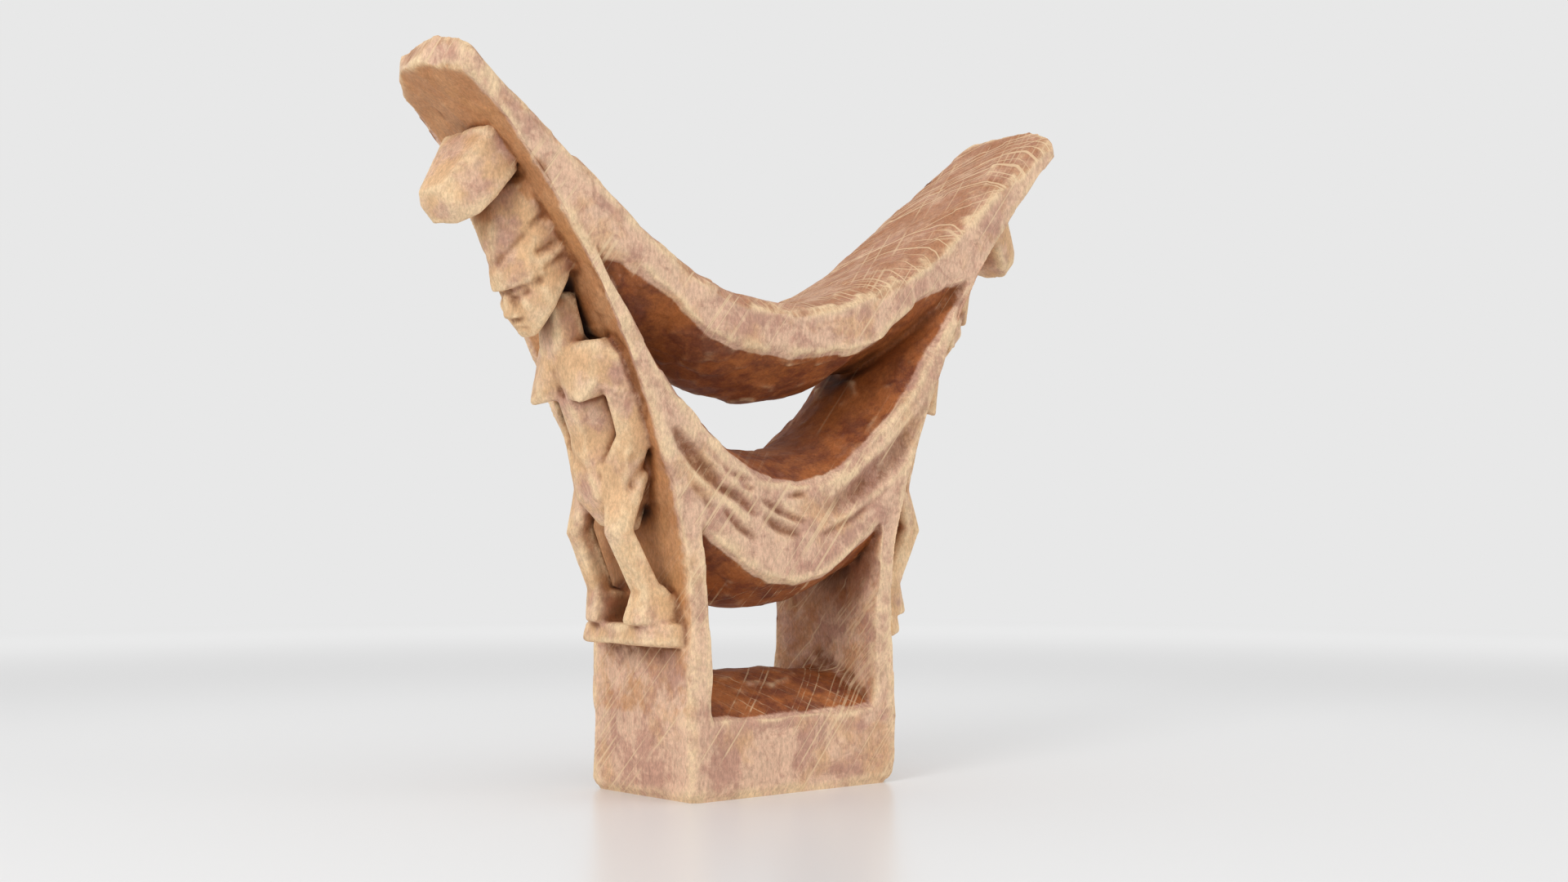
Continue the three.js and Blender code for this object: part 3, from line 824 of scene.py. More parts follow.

# %% [markdown]
# ## Knife lines on the figures
#
# Eyes, lips, brow, cap band, ears, navel fold and fingers are single strokes of a knife. Each
# stroke is a line in space beside the figure. Points near it sink along their own normals, most
# at the middle of the stroke.

# %% Knife strokes
STROKES = [
    # the cap's band, round both sides
    ([(90.8, -0.6, 144.8), (88.6, -5.0, 149.8), (84.4, -9.4, 155.8), (80.4, -10.4, 159.8)], 0.75, 0.8, True),
    # eyes, brows, mouth, nostrils
    ([(84.6, -2.4, 137.2), (82.4, -6.6, 139.2)], 0.65, 0.9, True),
    ([(83.8, -2.8, 136.0), (81.8, -6.8, 137.6)], 0.5, 0.3, True),
    ([(85.6, -2.0, 140.3), (83.8, -5.2, 141.5), (80.2, -8.8, 142.4)], 0.9, 0.8, True),
    ([(81.6, 0, 129.8), (80.2, -2.8, 129.8)], 0.5, 0.6, True),
    ([(83.2, -0.6, 131.9), (81.6, -3.0, 132.5)], 0.6, 0.6, True),
    # ears
    ([(81.4, -10.2, 150.0), (77.6, -10.8, 152.2)], 1.0, 1.3, True),
    ([(79.0, -10.2, 145.4), (74.4, -10.4, 149.4)], 0.7, 1.0, True),
]
BODY_STROKES = [
    # navel fold and groin, in stand-out from the arm
    ([(14.0, 3.0, 95.6), (14.4, -1.5, 92.4), (11.8, -6.0, 89.6)], 1.1, 0.9, False),
    ([(12.6, -6.5, 86.6), (9.0, -11.0, 91.6), (6.0, -13.5, 95.4)], 0.8, 0.6, False),
    ([(10.4, -8.8, 82.0), (7.4, -12.8, 88.0)], 0.8, 0.8, True),
    ([(14.2, 0.2, 118.0), (13.8, 0.0, 112.0)], 1.6, 0.8, False),
]


def sink_along(stroke, width, depth, side, mirror, lean):
    sunk = np.zeros(len(points))
    for across in ((-1, 1) if mirror else (1,)):
        line = []
        for out, y, z in stroke:
            x = float(outer_marks(z)) + out if lean else out
            line.append((side * x, across * y + figure_depth, z))
        low = np.min(line, axis=0) - 3
        high = np.max(line, axis=0) + 3
        near = np.flatnonzero(((points > low) & (points < high)).all(axis=1))
        best = np.full(len(near), 1e9)
        for start, end in zip(np.array(line[:-1]), np.array(line[1:])):
            way = end - start
            t = np.clip((points[near] - start) @ way / (way @ way), 0, 1)
            gap = np.linalg.norm(points[near] - start - t[:, None] * way, axis=1)
            best = np.minimum(best, gap)
        sunk[near] = np.maximum(sunk[near], depth * np.clip(1.25 - best / (width * 1.6), 0, 1))
    return sunk


normals = read_points(carving, "normal")
sunk = np.zeros(len(points))
for side in SIDES.values():
    for stroke, width, depth, mirror in STROKES:
        sunk = np.maximum(sunk, sink_along(stroke, width, depth, side, mirror, False))
    for stroke, width, depth, mirror in BODY_STROKES:
        sunk = np.maximum(sunk, sink_along(stroke, width, depth, side, mirror, True))
points -= normals * sunk[:, None]
write_points(carving, points)
print("points moved by the knife", int((sunk > 0).sum()))

# %% [markdown]
# ## Settling the surface
#
# Pressing and cutting leave steps one voxel wide. Two rounds of smoothing blend them, and the
# underside is set level again, because the neckrest has to stand without rocking.

# %% Smooth and level
points = spread(points, pairs, 2)
points = np.clip(points, np.array(cad_low) / MM + 0.02, np.array(cad_high) / MM - 0.02)
points[:, 2] = np.where(points[:, 2] < 0.7, 0.0, points[:, 2])
write_points(carving, points)
print("size", np.round(points.max(0) - points.min(0), 1))

# %% [markdown]
# ## What handling leaves behind, and painted shade
#
# Colour on old wood follows its form: raised edges are rubbed pale. Hollows get painted shade.
# So three values are worked out for each point and stored as attributes that the material reads.
# Edge wear and a painted cavity shade come from how far a point stands out from its smoothed
# neighbourhood. A painted occlusion shade comes from rays sent out from scattered sites: the more
# of them hit wood close by, the darker.

# %% Wear, painted cavity shade and painted occlusion shade
points = read_points(carving)
normals = read_points(carving, "normal")
narrow_rounds = round(8 / VOXEL**2)
broad_rounds = round(40 / VOXEL**2)
narrow = np.einsum("ij,ij->i", points - spread(points, pairs, narrow_rounds), normals)
broad = np.einsum("ij,ij->i", points - spread(points, pairs, broad_rounds), normals)
worn = np.clip(smooth_step(narrow, 0.10, 0.42) + 0.8 * smooth_step(broad, 0.25, 1.1), 0, 1)
# Painted cavity shade: concave places and the bottoms of gouge cuts are darkened as if shaded.
soiled = np.clip(smooth_step(-narrow, 0.08, 0.34) + 0.7 * smooth_step(-broad, 0.3, 1.3), 0, 1)
soiled = np.maximum(soiled, 0.75 * smooth_step(gouged, 0.6, 2.0))
worn = spread(worn, pairs, 2)
soiled = spread(soiled, pairs, 2)

# Painted occlusion shade: each site sends rays, and the more of them hit wood close by, the darker the point
# is painted.
occlusion_sites = 20000
occlusion_rays = 20
occlusion_reach = 34 * MM
skin = BVHTree.FromObject(carving, bpy.context.evaluated_depsgraph_get())
chosen = dice.choice(len(points), occlusion_sites, replace=False)
fan = dice.normal(size=(occlusion_rays, 3))
fan /= np.linalg.norm(fan, axis=1, keepdims=True)
occlusion_at = np.empty(occlusion_sites)
tree = kdtree.KDTree(occlusion_sites)
for number, index in enumerate(chosen):
    normal = normals[index]
    start = Vector((points[index] + normal * 0.4) * MM)
    rays = fan + normal * 1.02
    hits = 0.0
    for ray in rays:
        distance = skin.ray_cast(start, Vector(ray), occlusion_reach)[3]
        if distance is not None:
            hits += 1 - 0.6 * distance / occlusion_reach
    occlusion_at[number] = hits / occlusion_rays
    tree.insert(points[index], number)
tree.balance()
nearest = np.fromiter((tree.find(p)[1] for p in points), np.int64, len(points))
sheltered = spread(occlusion_at[nearest], pairs, 14)
print("shelter from", round(float(sheltered.min()), 2), "to", round(float(sheltered.max()), 2))


# %% [markdown]
# ## Where the tools scratched
#
# The rest was scraped across its length, and the scraper left pale curved lines, mostly towards
# the right. The top of the block and the inner sides of the posts show straighter ones. Each
# stretch gets its own mask, so that the material can draw its lines in the right direction.

# %% Scratch masks
x, y, z = points.T
above_rest = z - (rest_marks(np.abs(x)) - 5)
scraped = smooth_step(normals[:, 2], 0.2, 0.45) * smooth_step(above_rest, -1, 1)
inside_lower = (np.abs(x) < 38) & (z > 20) & (z < 60) & (np.abs(normals[:, 1]) < 0.75)
filed = spread(inside_lower.astype(float), pairs, 6)
bare = smooth_step(np.abs(y), half_depth - 3.2, half_depth - 1.4)
bare = np.maximum(bare, smooth_step(np.abs(normals[:, 1]), 0.80, 0.95))
scooped = 12 * smooth_step(z, 150, 182)
outside = smooth_step(np.abs(x) - outer_marks(z) + scooped, -5.5, -3.5)
outside *= normals[:, 2] < 0.3
tip_end = smooth_step(z, tip_height - 24, tip_height - 12) * smooth_step(normals[:, 2], -0.35, -0.1)
inner_post = (np.abs(x) < 40) & (np.abs(normals[:, 0]) > 0.6) & (z > 23) & (z < 90)
near_tip = smooth_step(np.abs(x), 100, 106) * (z > 160)
stained = (1 - bare) * (1 - on_figure) * (1 - outside) * (1 - near_tip)
stained *= 1 - 0.62 * smooth_step(scraped, 0.1, 0.6)
stained *= np.where(inner_post, 0.15, 1.0)
# Painted shade: the stain is weakened on upward faces, so faces turned down stay darker.
stained *= 1 - 0.22 * smooth_step(normals[:, 2], 0.0, 0.5)
stained = spread(stained, pairs, 5)
tinted = outside * (1 - on_figure) * (1 - bare) * smooth_step(z, 48, 56) * (1 - tip_end)
tinted = spread(np.maximum(tinted, 0.4 * inner_post), pairs, 6)
marks = {"worn": worn, "soiled": soiled, "sheltered": sheltered, "scraped": scraped, "filed": filed,
         "stained": stained, "tinted": tinted, "figure": spread(on_figure, pairs, 5)}
for mark, values in marks.items():
    attribute = carving.data.attributes.new(mark, "FLOAT", "POINT")
    attribute.data.foreach_set("value", values.astype(np.float32))
    print(mark, round(float(values.mean()), 3))

# %% [markdown]
# ## Dividing the carving
#
# A museum catalogue names each member of a carving, and the frame does the same, so the one body
# is now divided along the frame's own seams. Nothing is moved: each cut is made with a solid tool
# whose two sides fit exactly, so the seams stay hairline. The figures come off first along the
# board's outer side, then each figure is divided limb by limb, and last the board.

# %% Cutting tools
def prism(name, outline, low_y=-30, high_y=30):
    return layered(name, [(low_y, outline), (high_y, outline)])


def take(source, tool, name):
    """Moves the part of the source that lies inside the tool into a new piece."""
    piece = copy_of(source, name)
    cut(piece, tool, "INTERSECT", keep_tool=True)
    cut(source, tool, "DIFFERENCE")
    return piece


def limb_tool(part, side):
    """The limb's own hulls, a little fatter, fused into one clean solid."""
    recipe, depth_side, lean = RECIPES[part]
    whole = None
    for number, corners in enumerate(recipe(depth_side)):
        fatter = [(a, b, c, radius + limb_skin) for a, b, c, radius in corners]
        hull = whittle(f"tool_{number}", fatter, side, lean)
        whole = cut(whole, hull, "UNION") if whole else hull
    return whole


def sided(side, outline):
    return [(side * x, z) for x, z in outline]


figure_skin = 0.9
limb_skin = 1.3


def figure_zone(side):
    heights = np.linspace(plinth_low - 0.5, 186, 40)
    layers = []
    for y in np.linspace(-21.4, 20.2, 15):
        inner = [(float(outer_side(z, y)) + figure_skin, float(z)) for z in heights]
        outline = [*inner, (130.0, 186.0), (130.0, plinth_low - 0.5)]
        layers.append((float(y), sided(side, outline)))
    return layered("figure_zone", layers)


def islands_of(piece):
    """Splits a piece into its loose parts, largest first."""
    use(piece)
    bpy.ops.object.mode_set(mode="EDIT")
    bpy.ops.mesh.select_all(action="SELECT")
    bpy.ops.mesh.separate(type="LOOSE")
    bpy.ops.object.mode_set(mode="OBJECT")
    parts = sorted(bpy.context.selected_objects, key=volume_of, reverse=True)
    clear_selection()
    return parts


def keep_body(piece, name, crumb=2.0):
    """Drops crumbs smaller than a pinhead, in cubic mm, that a cut has left."""
    parts = islands_of(piece)
    solid = [part for part in parts if volume_of(part) > crumb]
    for part in parts:
        if part not in solid:
            bpy.data.objects.remove(part)
    return joined(solid, name)


print("a limb's tool stands", limb_skin, "mm off the limb")

# %% [markdown]
# ## Take off and divide the figures
#
# Each figure is first taken off the board whole. Its parts then come off one at a time, from the
# lug down, and whatever is left at the end is the torso. The order matters where two tools
# overlap: the part that comes off first gets the overlap.

# %% Take off and divide the figures
source_points = read_points(carving)
pieces = {}
order = ["lug", "cap", "head", "near_arm", "far_arm", "near_leg", "far_leg", "plinth"]
for side_name, side in SIDES.items():
    figure = take(carving, figure_zone(side), f"{side_name}_figure")
    for part in order:
        tool = limb_tool(part, side)
        pieces[f"{side_name}_{part}"] = take(figure, tool, f"{side_name}_{part}")
    pieces[f"{side_name}_torso"] = figure
print("figure pieces", len(pieces))

# %% [markdown]
# ## Divide the board
#
# The board is divided by straight saw lines, seen from the front, so plain prisms do it. The base
# goes first, then post, arm and wing on each side, then the lower crescent. What is left in the
# middle of the rest is the neck saddle.

# %% Divide the board
base = [(-60, -5), (60, -5), (60, post_foot), (-60, post_foot)]
pieces["base_block"] = take(carving, prism("base_tool", base), "base_block")
post = [(29, post_foot), (30, 51.7), (36.6, arm_foot_height), (130, arm_foot_height), (130, post_foot)]
corner, crest = (42, 122.2), (71.6, 152.3)
arm = [(36.6, arm_foot_height), corner, crest, (130, crest[1]), (130, arm_foot_height)]
wing_foot = tuple(mix(a, b, 0.3) for a, b in zip(corner, crest))
wing = [
    wing_foot, crest, (130, crest[1]), (130, 240), (wing_foot[0] - 31, 240),
    (wing_foot[0] - 14, wing_foot[1] + 40),
]
for side_name, side in SIDES.items():
    for part, outline in (("post", post), ("arm", arm), ("wing", wing)):
        tool = prism(f"{part}_tool", sided(side, outline))
        pieces[f"{side_name}_{part}"] = take(carving, tool, f"{side_name}_{part}")
lower = [
    (-60, 40), (60, 40), (60, 122.2), (42, 122.2), (36, 118), (0, 106), (-36, 118), (-42, 122.2),
    (-60, 122.2),
]
pieces["lower_crescent"] = take(carving, prism("crescent_tool", lower), "lower_crescent")
pieces["neck_saddle"] = carving
for node in list(pieces):
    pieces[node] = keep_body(pieces[node], f"carved_{node}")
    print(node, len(pieces[node].data.polygons), "faces", round(volume_of(pieces[node])), "mm3")

# %% [markdown]
# ## Giving the marks back
#
# The cuts made new points on the seams. Every point of every piece takes its wear, painted cavity
# shade and painted occlusion shade values from the nearest point of the undivided carving, so colour
# runs straight across each seam and the carving still looks like one block.

# %% Copy the marks
def copy_marks(piece):
    spots = read_points(piece)
    index = np.fromiter((mark_tree.find(p)[1] for p in spots), np.int64, len(spots))
    for mark, values in marks.items():
        old = piece.data.attributes.get(mark)
        if old:
            piece.data.attributes.remove(old)
        attribute = piece.data.attributes.new(mark, "FLOAT", "POINT")
        attribute.data.foreach_set("value", values[index].astype(np.float32))


mark_tree = kdtree.KDTree(len(source_points))
for number, point in enumerate(source_points):
    mark_tree.insert(point, number)
mark_tree.balance()
for piece in pieces.values():
    copy_marks(piece)
print("marks copied to", len(pieces), "pieces")

# %% [markdown]
# ## Studio
#
# The camera is a plain 50 mm lens at the height of a hand above the table. It is turned 41 degrees
# round from the front, so that it sees the front and the left figure, and tilted up a little.

# %% Camera
def srgb(code):
    """A hex colour such as C9A27C as linear RGBA."""
    parts = [int(code[i : i + 2], 16) / 255 for i in (0, 2, 4)]
    linear = [c / 12.92 if c <= 0.04045 else ((c + 0.055) / 1.055) ** 2.4 for c in parts]
    return (*linear, 1.0)


camera_tilt = 1.7
camera_turn = 40.8
camera_data = bpy.data.cameras.new("studio_camera")
camera_data.lens = 50
camera_data.sensor_width = 36
camera = bpy.data.objects.new("studio_camera", camera_data)
bpy.context.collection.objects.link(camera)
camera.location = (-0.411, -0.494, 0.082)
camera.rotation_euler = (math.radians(90 + camera_tilt), 0, math.radians(-camera_turn))
bpy.context.scene.camera = camera
print("camera at", [round(v, 3) for v in camera.location], "m")


# %% [markdown]
# ## Lights, room and floor
#
# A carving reads best in soft light that grazes it a little. Three square panels give it: one
# overhead, one on the left for the carved side, and one low on the right for the front. A pale
# world fills the shadows. The floor is a disc so wide that the camera hardly sees its edge.

# %% Lights, room and floor
def panel_light(name, place, aim, size, power):
    light_data = bpy.data.lights.new(name, "AREA")
    light_data.shape = "RECTANGLE"
    light_data.size, light_data.size_y = size
    light_data.energy = power
    light = bpy.data.objects.new(name, light_data)
    bpy.context.collection.objects.link(light)
    light.location = place
    light.rotation_euler = (Vector(aim) - Vector(place)).to_track_quat("-Z", "Y").to_euler()


panel_light("top_panel", (-0.5, -0.5, 1.5), (0, 0, 0.1), (1.0, 1.0), 3)
panel_light("left_panel", (-1.3, -0.45, 0.75), (0, 0, 0.1), (0.5, 0.5), 6.5)
panel_light("right_panel", (0.9, -1.3, 0.5), (0, 0, 0.1), (0.8, 0.8), 3)

world = bpy.data.worlds.new("pale_room")
bpy.context.scene.world = world
world.use_nodes = True
world.node_tree.nodes["Background"].inputs["Color"].default_value = srgb("E8E8E8")
world.node_tree.nodes["Background"].inputs["Strength"].default_value = 1.0
bpy.context.scene.view_settings.view_transform = "Standard"

clear_selection()
bpy.ops.mesh.primitive_circle_add(vertices=128, radius=8.0, fill_type="NGON")
floor = bpy.context.object
floor.name = "studio_floor"
print("floor", round(floor.dimensions.x, 1), "m across")

# %% [markdown]
# ## Light tropical hardwood, cut with adze, gouge and knife
#
# The wood is pale, close-grained and unvarnished. Its colour drifts between a warm tan and a dusty
# mauve in patches a finger wide, with a fuzzy grain under a millimetre wide on top. Painted shade
# makes hollows orange-brown and creases almost black, and rubbed edges have gone straw yellow. The
# surface is dull, and a little smoother where hands and a neck have polished it.
#
# A node tree could be wired by hand in the editor. In code it stays short when one small function
# adds a node, and a few more words stand for the nodes that come up again and again.

# %% Node helpers
def add(tree, kind, inputs=None, **settings):
    """Adds one node. Inputs hold either values or output sockets to link from."""
    made = tree.nodes.new(kind)
    for key, value in settings.items():
        setattr(made, key, value)
    for key, value in (inputs or {}).items():
        if isinstance(value, bpy.types.NodeSocket):
            tree.links.new(value, made.inputs[key])
        else:
            made.inputs[key].default_value = value
    return made


def per_metre(size_mm):
    return 1 / (size_mm * MM)


class Wood:
    """One material's node tree, with a short word for each kind of node that it needs."""

    def __init__(self, tree):
        self.tree = tree
        self.place = add(tree, "ShaderNodeTexCoord").outputs["Object"]
        parts = add(tree, "ShaderNodeSeparateXYZ", {0: self.place}).outputs
        self.x, self.y, self.z = (self.maths("MULTIPLY", part, 1 / MM) for part in parts)

    def mark(self, kind):
        return add(self.tree, "ShaderNodeAttribute", attribute_name=kind).outputs["Fac"]

    def maths(self, operation, a, b=0.0, clamp=False):
        return add(self.tree, "ShaderNodeMath", {0: a, 1: b}, operation=operation, use_clamp=clamp).outputs[0]

    def times(self, a, b):
        return self.maths("MULTIPLY", a, b)

    def plus(self, a, b):
        return self.maths("ADD", a, b)

    def cloud(self, size_mm, detail=4.0, rough=0.6, vector=None, warp=0.0):
        return add(self.tree, "ShaderNodeTexNoise", {
            "Vector": self.place if vector is None else vector, "Scale": per_metre(size_mm),
            "Detail": detail, "Roughness": rough, "Distortion": warp,
        }).outputs["Fac"]

    def fade(self, value, low, high, to_low=0.0, to_high=1.0):
        return add(self.tree, "ShaderNodeMapRange", {
            0: value, 1: low, 2: high, 3: to_low, 4: to_high,
        }, interpolation_type="SMOOTHSTEP").outputs[0]

    def blend(self, amount, under, over, kind="MIX"):
        return add(self.tree, "ShaderNodeMix", {
            0: amount, 6: under, 7: over,
        }, data_type="RGBA", blend_type=kind).outputs[2]


print("node helpers", [word for word in dir(Wood) if not word.startswith("_")])

# %% [markdown]
# ## The colours of the wood
#
# Fresh wood first. Three clouds of different sizes blend its own colours, and a fourth warms the
# figures, whose surfaces are yellower. Sizes are in mm, so the patches keep their real scale
# whatever the size of the piece.

# %% Fresh wood
TAN = "DCB69A"
MAUVE = "C0947F"
OCHRE = "D8AC7E"
ROSE = "B07E6C"
HONEY = "DDB484"


def fresh_wood(wood):
    """Patches of tan and mauve, each with its own finer clouding."""
    patch = wood.fade(wood.cloud(15, 6, 0.68, warp=0.8), 0.44, 0.58)
    colour = wood.blend(patch, srgb(TAN), srgb(MAUVE))
    ochre_patch = wood.fade(wood.cloud(24, 4, 0.65), 0.52, 0.66)
    colour = wood.blend(wood.times(ochre_patch, 0.6), colour, srgb(OCHRE))
    blush = wood.fade(wood.cloud(6, 5, 0.75, warp=1.2), 0.50, 0.66)
    colour = wood.blend(wood.times(blush, 0.50), colour, srgb(ROSE))
    warmth = wood.times(wood.mark("figure"), wood.fade(wood.cloud(13, 4), 0.36, 0.56))
    return wood.blend(wood.times(warmth, 0.75), colour, srgb(HONEY))


print("fresh wood from", TAN, MAUVE, OCHRE, ROSE, HONEY)

# %% [markdown]
# ## What age and painted shade do to the colour
#
# Age and painted shade are laid over the fresh wood in this order: old finish, painted shade in
# hollows and creases, then rubbing. Each layer takes its place from one of the carving's marks and
# its ragged edge from a cloud.

# %% Aged and shaded wood
AMBER = "BC8048"
HANDLED = "A87250"
STAIN = "6E2E0C"
STAIN_LIGHT = "A25A24"
# Painted shade colours: orange-brown for blocked hollows, near black for creases, and brown for concave
# places.
SHADE = "90501E"
CREASE_SHADOW = "2E1409"
CAVITY_SHADE = "78431F"
STRAW = "ECCFA6"


def aged_and_shaded_wood(wood, colour):
    # Ochre outside, and brown stain where necks lay and on the inner sides, made stronger on downward faces
    # as painted shade.
    tint_edge = wood.plus(wood.mark("tinted"), wood.fade(wood.cloud(10, 4, 0.7), 0.3, 0.7, -0.25, 0.25))
    colour = wood.blend(wood.fade(tint_edge, 0.25, 0.8, 0.0, 0.75), colour, srgb(AMBER))
    handled = wood.fade(wood.cloud(12, 5, 0.7), 0.3, 0.62, 0.4, 0.95)
    colour = wood.blend(wood.times(wood.mark("scraped"), handled), colour, srgb(HANDLED))
    stain_shade_edge = wood.plus(wood.mark("stained"), wood.fade(wood.cloud(7, 5, 0.7), 0.3, 0.7, -0.14, 0.14))
    stain = wood.fade(stain_shade_edge, 0.30, 0.72, 0.0, 0.92)
    brown = wood.blend(wood.fade(wood.cloud(11, 6, 0.7), 0.38, 0.60), srgb(STAIN), srgb(STAIN_LIGHT))
    colour = wood.blend(stain, colour, brown)

    # Painted shade: darker where rays are blocked, and a near-black painted shadow in the creases.
    sheltered = wood.mark("sheltered")
    colour = wood.blend(wood.fade(sheltered, 0.24, 0.66, 0.0, 0.72), colour, srgb(SHADE))
    colour = wood.blend(wood.fade(sheltered, 0.58, 0.84, 0.0, 0.92), colour, srgb(CREASE_SHADOW))
    # Painted cavity shade in concave places and gouge bottoms.
    soil = wood.times(wood.mark("soiled"), wood.fade(wood.cloud(5, 5, 0.75), 0.3, 0.58, 0.35, 1.0))
    colour = wood.blend(wood.times(soil, 0.85), colour, srgb(CAVITY_SHADE))

    # Straw yellow on rubbed edges.
    rub = wood.times(wood.mark("worn"), wood.fade(wood.cloud(7, 5, 0.75), 0.34, 0.60, 0.15, 1.0))
    return wood.blend(wood.times(rub, 0.80), colour, srgb(STRAW))


# The shade, crease and cavity colours in this list are painted shade.
print("age adds", AMBER, HANDLED, STAIN, STAIN_LIGHT, SHADE, CREASE_SHADOW, CAVITY_SHADE, STRAW)

# %% [markdown]
# ## Scraper lines
#
# A scraper with a nicked edge leaves bundles of thin pale lines. Noise stretched a hundred times
# along one direction gives such streaks. On the rest they bow, because the carver's arm swings
# round the elbow, and on the block they slant two ways. Stray ones are kept off the stained,
# underside-shaded hollows and the figures.

# %% Streaks
STREAK_WIDTH = 1.3
THIN_STREAK_WIDTH = 0.9


def slanting(wood, by_x, by_y, by_z):
    flat = wood.plus(wood.times(wood.x, by_x), wood.times(wood.y, by_y))
    return wood.plus(flat, wood.times(wood.z, by_z))


def streaks(wood, across, along, width, length, seed, sparse):
    """Thin lines with a width and a length in mm. The higher sparse is, the fewer there are."""
    stretched = add(wood.tree, "ShaderNodeCombineXYZ", {
        0: wood.maths("DIVIDE", across, width), 1: wood.maths("DIVIDE", along, length), 2: seed,
    }).outputs[0]
    streak = add(wood.tree, "ShaderNodeTexNoise", {
        "Vector": stretched, "Scale": 1.0, "Detail": 1.0, "Roughness": 0.4,
    }).outputs["Fac"]
    return wood.fade(streak, sparse, sparse + 0.05)


def bowed(wood, pivot, bend):
    """How far a line has swung sideways at the depth of this point."""
    return wood.times(wood.maths("POWER", wood.plus(wood.y, pivot), 2.0), bend)


def scraper_lines(wood):
    arcs = streaks(wood, wood.plus(wood.x, bowed(wood, 30.0, 0.011)), wood.y, STREAK_WIDTH, 130.0, 1.0, 0.58)
    swung_back = wood.maths("SUBTRACT", wood.x, bowed(wood, -26.0, 0.013))
    counter = streaks(wood, swung_back, wood.y, STREAK_WIDTH, 120.0, 5.0, 0.61)
    rest_lines = wood.times(wood.maths("MAXIMUM", arcs, counter), wood.mark("scraped"))
    rest_lines = wood.times(rest_lines, wood.fade(wood.x, -30.0, 40.0, 0.35, 1.0))

    rising = streaks(wood, slanting(wood, -0.8, 0.62, 0.66), slanting(wood, 0.5, -0.6, 0.6),
                     THIN_STREAK_WIDTH, 150.0, 9.0, 0.60)
    falling = streaks(wood, slanting(wood, 0.9, 0.5, 0.45), slanting(wood, 0.3, -0.9, 0.4),
                      THIN_STREAK_WIDTH, 140.0, 13.0, 0.61)
    filed = wood.times(wood.mark("filed"), wood.fade(wood.cloud(9, 3, 0.6), 0.42, 0.58, 0.1, 0.75))
    file_lines = wood.times(wood.maths("MAXIMUM", rising, falling), filed)

    stray = wood.times(rising, wood.fade(wood.cloud(22, 2, 0.5), 0.43, 0.56, 0.0, 0.9))
    guarded = wood.maths("MAXIMUM", wood.mark("stained"), wood.mark("figure"))
    guarded = wood.maths("MAXIMUM", guarded, wood.mark("tinted"))
    stray = wood.times(stray, wood.maths("SUBTRACT", 1.0, guarded, True))
    return wood.maths("MAXIMUM", rest_lines, wood.maths("MAXIMUM", file_lines, stray))


print("streaks", STREAK_WIDTH, "mm wide on the rest and", THIN_STREAK_WIDTH, "mm on the block")

# %% [markdown]
# ## Grain, relief and the three woods
#
# The grain is a fine noise, drawn out along the height of the block. It speckles the colour and,
# with a knife's small ripples and the scraped lines, it makes the relief. Three woods share the
# recipe: the board was hewn, the rest was scraped and is a little smoother from handling, and the
# figures were cut with a knife.

# %% Wood recipe
GRAIN_SIZE = 0.75
FIBRE_SIZE = 2.6
RIPPLE_SIZE = 3.4
SCRAPE_STRENGTH = 0.62


def carved_wood(name, roughness):
    material = bpy.data.materials.new(name)
    material.use_nodes = True
    tree = material.node_tree
    shader = tree.nodes["Principled BSDF"]
    wood = Wood(tree)
    colour = aged_and_shaded_wood(wood, fresh_wood(wood))

    upright = add(tree, "ShaderNodeMapping", {"Vector": wood.place, "Scale": (1.0, 1.0, 0.45)}).outputs[0]
    grain = wood.cloud(GRAIN_SIZE, 3, 0.75, upright)
    fibres = wood.cloud(FIBRE_SIZE, 4, 0.8, upright, 0.8)
    speck = wood.plus(wood.fade(grain, 0.28, 0.72, -0.18, 0.16), wood.fade(fibres, 0.3, 0.7, -0.10, 0.09))
    colour = wood.blend(1.0, colour, wood.plus(speck, 1.0), "MULTIPLY")
    lines = scraper_lines(wood)
    colour = wood.blend(wood.times(lines, SCRAPE_STRENGTH), colour, srgb(STRAW))
    tree.links.new(colour, shader.inputs["Base Color"])

    height = wood.plus(wood.times(grain, 0.05), wood.times(wood.cloud(RIPPLE_SIZE, 3, 0.6), 0.16))
    height = wood.maths("SUBTRACT", height, wood.times(lines, 0.10))
    bump = add(tree, "ShaderNodeBump", {"Height": height, "Strength": 0.7, "Distance": MM})
    tree.links.new(bump.outputs[0], shader.inputs["Normal"])

    dull = wood.fade(wood.cloud(5, 3), 0.3, 0.7, roughness - 0.06, roughness + 0.08)
    tree.links.new(dull, shader.inputs["Roughness"])
    shader.inputs["IOR"].default_value = 1.45
    shader.inputs["Specular IOR Level"].default_value = 0.32
    return material


WOODS = {
    "board_wood": carved_wood("hand_hewn_pale_hardwood", 0.72),
    "rest_wood": carved_wood("scraped_and_handled_hardwood", 0.64),
    "figure_wood": carved_wood("knife_cut_pale_hardwood", 0.70),
}
print("woods", [wood.name for wood in WOODS.values()])


# %% [markdown]
# ## Dressing the pieces
#
# Each piece takes a finish by its node's name: scraped wood on the rest and wings,
# hewn wood on the board, knife-cut wood on the figures. All three share one recipe on the
# object's own coordinates, so the grain runs on across the seams. Shading stays smooth except
# where two cuts meet at a real edge.

# %% Finish, body and frame node
REST_NODES = ("neck_saddle", "left_wing", "right_wing")
FIGURE_PARTS = tuple(RECIPES)


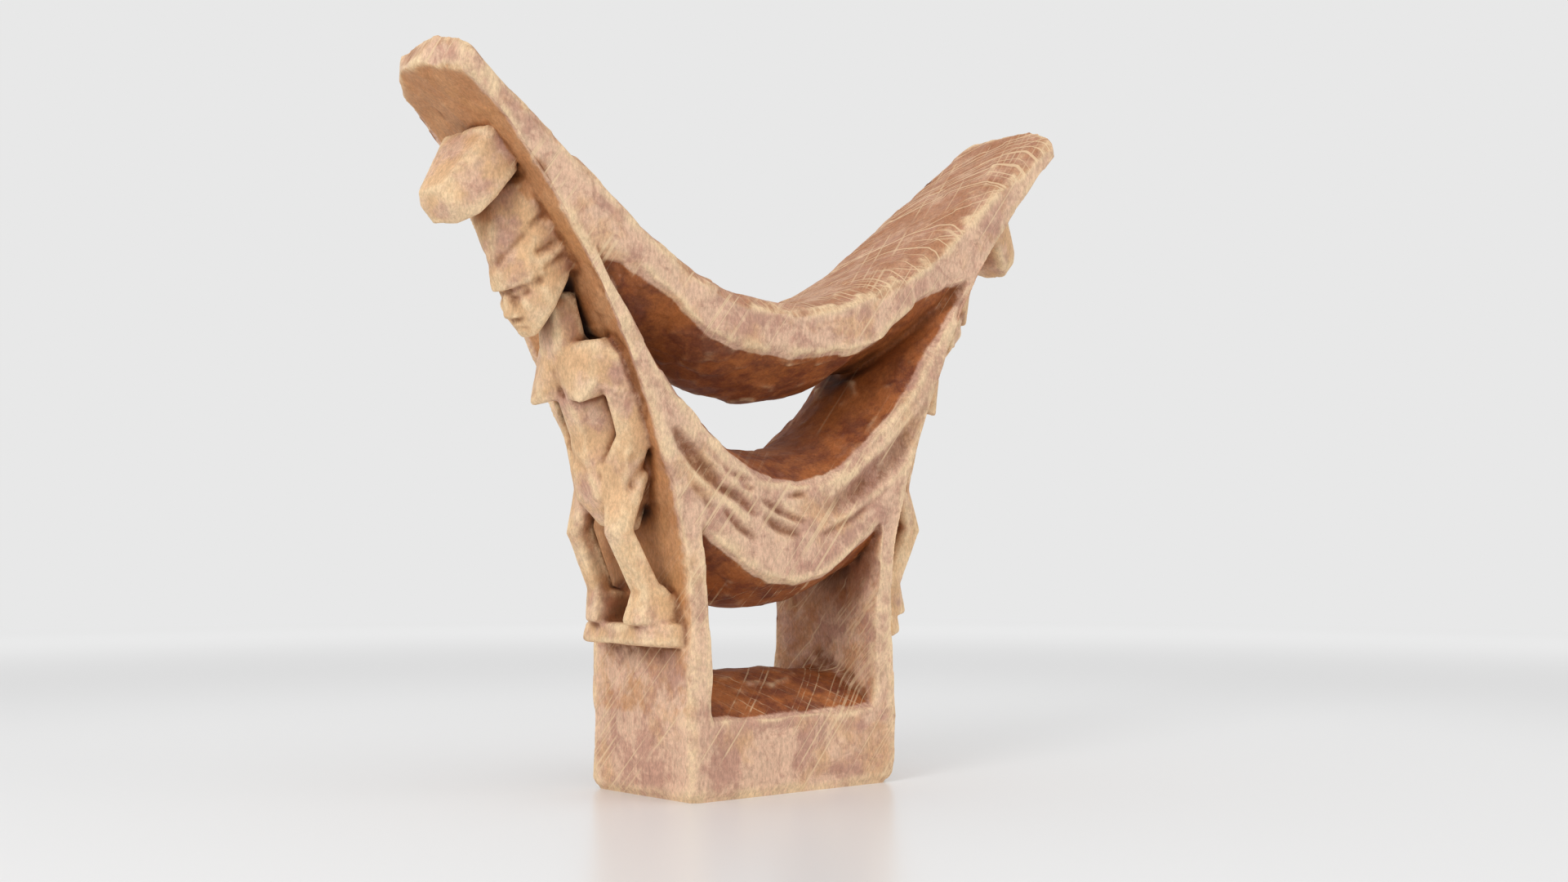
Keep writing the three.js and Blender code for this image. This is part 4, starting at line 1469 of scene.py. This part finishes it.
def slot_of(node):
    if node in REST_NODES:
        return "rest_wood"
    if node.endswith(FIGURE_PARTS):
        return "figure_wood"
    return "board_wood"


for node, piece in pieces.items():
    use(piece)
    bpy.ops.object.shade_smooth_by_angle(angle=math.radians(38))
    piece.data.materials.clear()
    piece.data.materials.append(WOODS[slot_of(node)])
    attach(piece, "root")
    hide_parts(node)
print("dressed", len(pieces), "pieces")

# %% [markdown]
# ## Floor finish
#
# Such a piece is set on a sheet of satin acrylic, smooth enough to give a faint, blurred
# reflection under the foot. Away from the middle the sheet stops taking light and glows with the
# colour of the room instead, so that floor and backdrop run into each other.

# %% Floor
lit_radius = 0.25
glow_radius = 0.95
satin_acrylic = bpy.data.materials.new("satin_white_acrylic")
satin_acrylic.use_nodes = True
sheet = satin_acrylic.node_tree
satin = sheet.nodes["Principled BSDF"]
satin.inputs["Roughness"].default_value = 0.28
satin.inputs["IOR"].default_value = 1.49
satin.inputs["Emission Color"].default_value = srgb("E8E8E8")
from_middle = add(sheet, "ShaderNodeVectorMath", {
    0: add(sheet, "ShaderNodeTexCoord").outputs["Object"],
}, operation="LENGTH").outputs["Value"]
far = add(sheet, "ShaderNodeMapRange", {
    0: from_middle, 1: lit_radius, 2: glow_radius,
}, interpolation_type="SMOOTHSTEP").outputs[0]
near = add(sheet, "ShaderNodeMath", {0: 1.0, 1: far}, operation="SUBTRACT").outputs[0]
lit = add(sheet, "ShaderNodeMath", {0: near, 1: 2.4}, operation="POWER").outputs[0]
lit_white = add(sheet, "ShaderNodeMix", {0: lit, 6: srgb("000000"), 7: srgb("E6E6E6")}, data_type="RGBA")
gloss = add(sheet, "ShaderNodeMapRange", {0: lit, 3: 0.0, 4: 0.5})
sheet.links.new(lit_white.outputs[2], satin.inputs["Base Color"])
sheet.links.new(gloss.outputs[0], satin.inputs["Specular IOR Level"])
sheet.links.new(far, satin.inputs["Emission Strength"])
floor.data.materials.append(satin_acrylic)
print("the sheet glows from", lit_radius, "m out, and fully from", glow_radius, "m")

# %% [markdown]
# ## The frame's box
#
# The carving has to stay inside the frame's box; its points were clipped to that box when the surface was
# settled.
